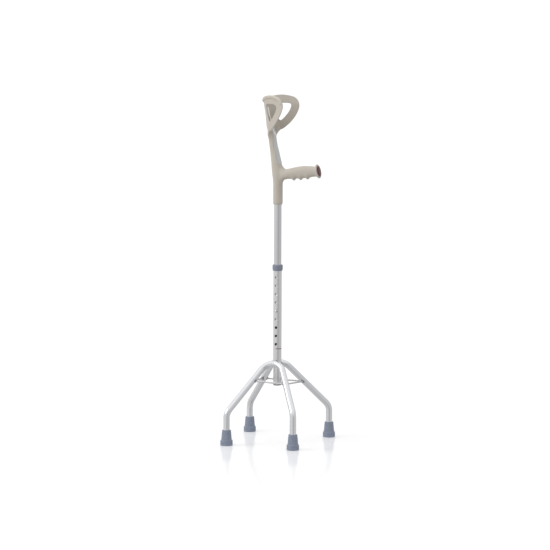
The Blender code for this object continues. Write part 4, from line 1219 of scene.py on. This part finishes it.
def add_camera():
    turn, down, roll = math.radians(21.0 + 0.055), math.radians(6.3), math.radians(0.224)
    ahead = Vector((-math.sin(turn) * math.cos(down), math.cos(turn) * math.cos(down), -math.sin(down)))
    right = Vector((math.cos(turn), math.sin(turn), 0))
    up = right.cross(ahead)
    right, up = right * math.cos(roll) + up * math.sin(roll), up * math.cos(roll) - right * math.sin(roll)
    camera = bpy.data.cameras.new("camera")
    camera.lens = 2709 / 550 * 36
    camera.sensor_width = 36
    camera.sensor_fit = "HORIZONTAL"
    camera.clip_start, camera.clip_end = 0.05, 200
    obj = bpy.data.objects.new("camera", camera)
    bpy.context.scene.collection.objects.link(obj)
    basis = Matrix((right, up, -ahead)).transposed().to_4x4()
    obj.matrix_world = Matrix.Translation(Vector((2.877, -7.469, 1.382))) @ basis
    bpy.context.scene.camera = obj


def add_light(name, at, target, size, watts, tint=(1, 1, 1)):
    light = bpy.data.lights.new(name, "AREA")
    light.shape = "RECTANGLE"
    light.size, light.size_y = size
    light.energy = watts
    light.color = tint
    obj = bpy.data.objects.new(name, light)
    bpy.context.scene.collection.objects.link(obj)
    obj.location = at
    aim(obj, target)


def add_floor():
    """A plain white floor, evenly bright to its far edge, that mirrors the feet a little."""
    shader = Shader("studio_floor", (0.80, 0.80, 0.805), 0.10)
    shader.bsdf.inputs["Emission Color"].default_value = (1, 1, 1, 1)
    away = shader.node("ShaderNodeVectorMath", operation="LENGTH")
    shader.link(shader.place, away.inputs[0])
    shader.link(shader.spread(away.outputs["Value"], 0.35, 1.5, 0.185, 0.27), shader.bsdf.inputs["Emission Strength"])
    wave = shader.noise(shader.place, 3.0, 2.0, 0.5)
    shader.roughness(shader.spread(wave, 0.3, 0.7, 0.10, 0.14))
    bm = bmesh.new()
    bmesh.ops.create_circle(bm, cap_ends=True, segments=96, radius=60.0)
    mesh = bpy.data.meshes.new("studio_floor")
    bm.to_mesh(mesh)
    bm.free()
    mesh.materials.append(shader.mat)
    floor = bpy.data.objects.new("studio_floor", mesh)
    bpy.context.scene.collection.objects.link(floor)
    floor.location = (0, 0, -0.0002)
    floor.visible_diffuse = False
    floor.visible_glossy = False


def add_world():
    """A white studio: brightest overhead, then behind and to the left, greyer on the camera's side, most where the camera stands."""
    world = bpy.data.worlds.new("studio")
    bpy.context.scene.world = world
    world.use_nodes = True
    nodes, links = world.node_tree.nodes, world.node_tree.links
    nodes.clear()

    def new(kind, **settings):
        made = nodes.new(kind)
        for key, value in settings.items():
            setattr(made, key, value)
        return made

    where = new("ShaderNodeTexCoord")

    def slope(direction, low, high, to_low, to_high):
        """Light that changes smoothly with the angle to a direction."""
        dot = new("ShaderNodeVectorMath", operation="DOT_PRODUCT")
        links.new(where.outputs["Generated"], dot.inputs[0])
        dot.inputs[1].default_value = direction
        to = new("ShaderNodeMapRange", interpolation_type="SMOOTHSTEP")
        for key, value in (("From Min", low), ("From Max", high), ("To Min", to_low), ("To Max", to_high)):
            to.inputs[key].default_value = value
        links.new(dot.outputs["Value"], to.inputs["Value"])
        return to.outputs["Result"]

    total = slope((-0.359, 0.933, 0), -0.3, 0.6, 0.79, 0.79)
    for other in (slope((-0.933, -0.359, 0), -0.9, 0.9, -0.08, 0.06), slope((0, 0, 1), 0.25, 0.85, 0.0, 0.30),
                  slope((0, 0, -1), 0.15, 0.7, 0.0, -0.15), slope((0.60, -0.795, -0.09), 0.88, 0.985, 0.0, -0.22)):
        add = new("ShaderNodeMath", operation="ADD")
        links.new(total, add.inputs[0])
        links.new(other, add.inputs[1])
        total = add.outputs[0]
    background = new("ShaderNodeBackground")
    background.inputs["Color"].default_value = (1, 1, 1, 1)
    links.new(total, background.inputs["Strength"])
    plain = new("ShaderNodeBackground")
    plain.inputs["Color"].default_value = (1, 1, 1, 1)
    plain.inputs["Strength"].default_value = 1.02
    path = new("ShaderNodeLightPath")
    choose = new("ShaderNodeMixShader")
    links.new(path.outputs["Is Camera Ray"], choose.inputs[0])
    links.new(background.outputs[0], choose.inputs[1])
    links.new(plain.outputs[0], choose.inputs[2])
    out = new("ShaderNodeOutputWorld")
    links.new(choose.outputs[0], out.inputs["Surface"])


add_camera()
add_floor()
add_world()
add_light("key_softbox", (-2.4, -1.7, 2.0), (0, 0, 0.6), (1.2, 1.6), 29)
add_light("overhead_softbox", (-0.3, 0.3, 2.9), (0, 0, 0.4), (0.5, 1.0), 3.2)
bpy.context.scene.view_settings.view_transform = "Standard"
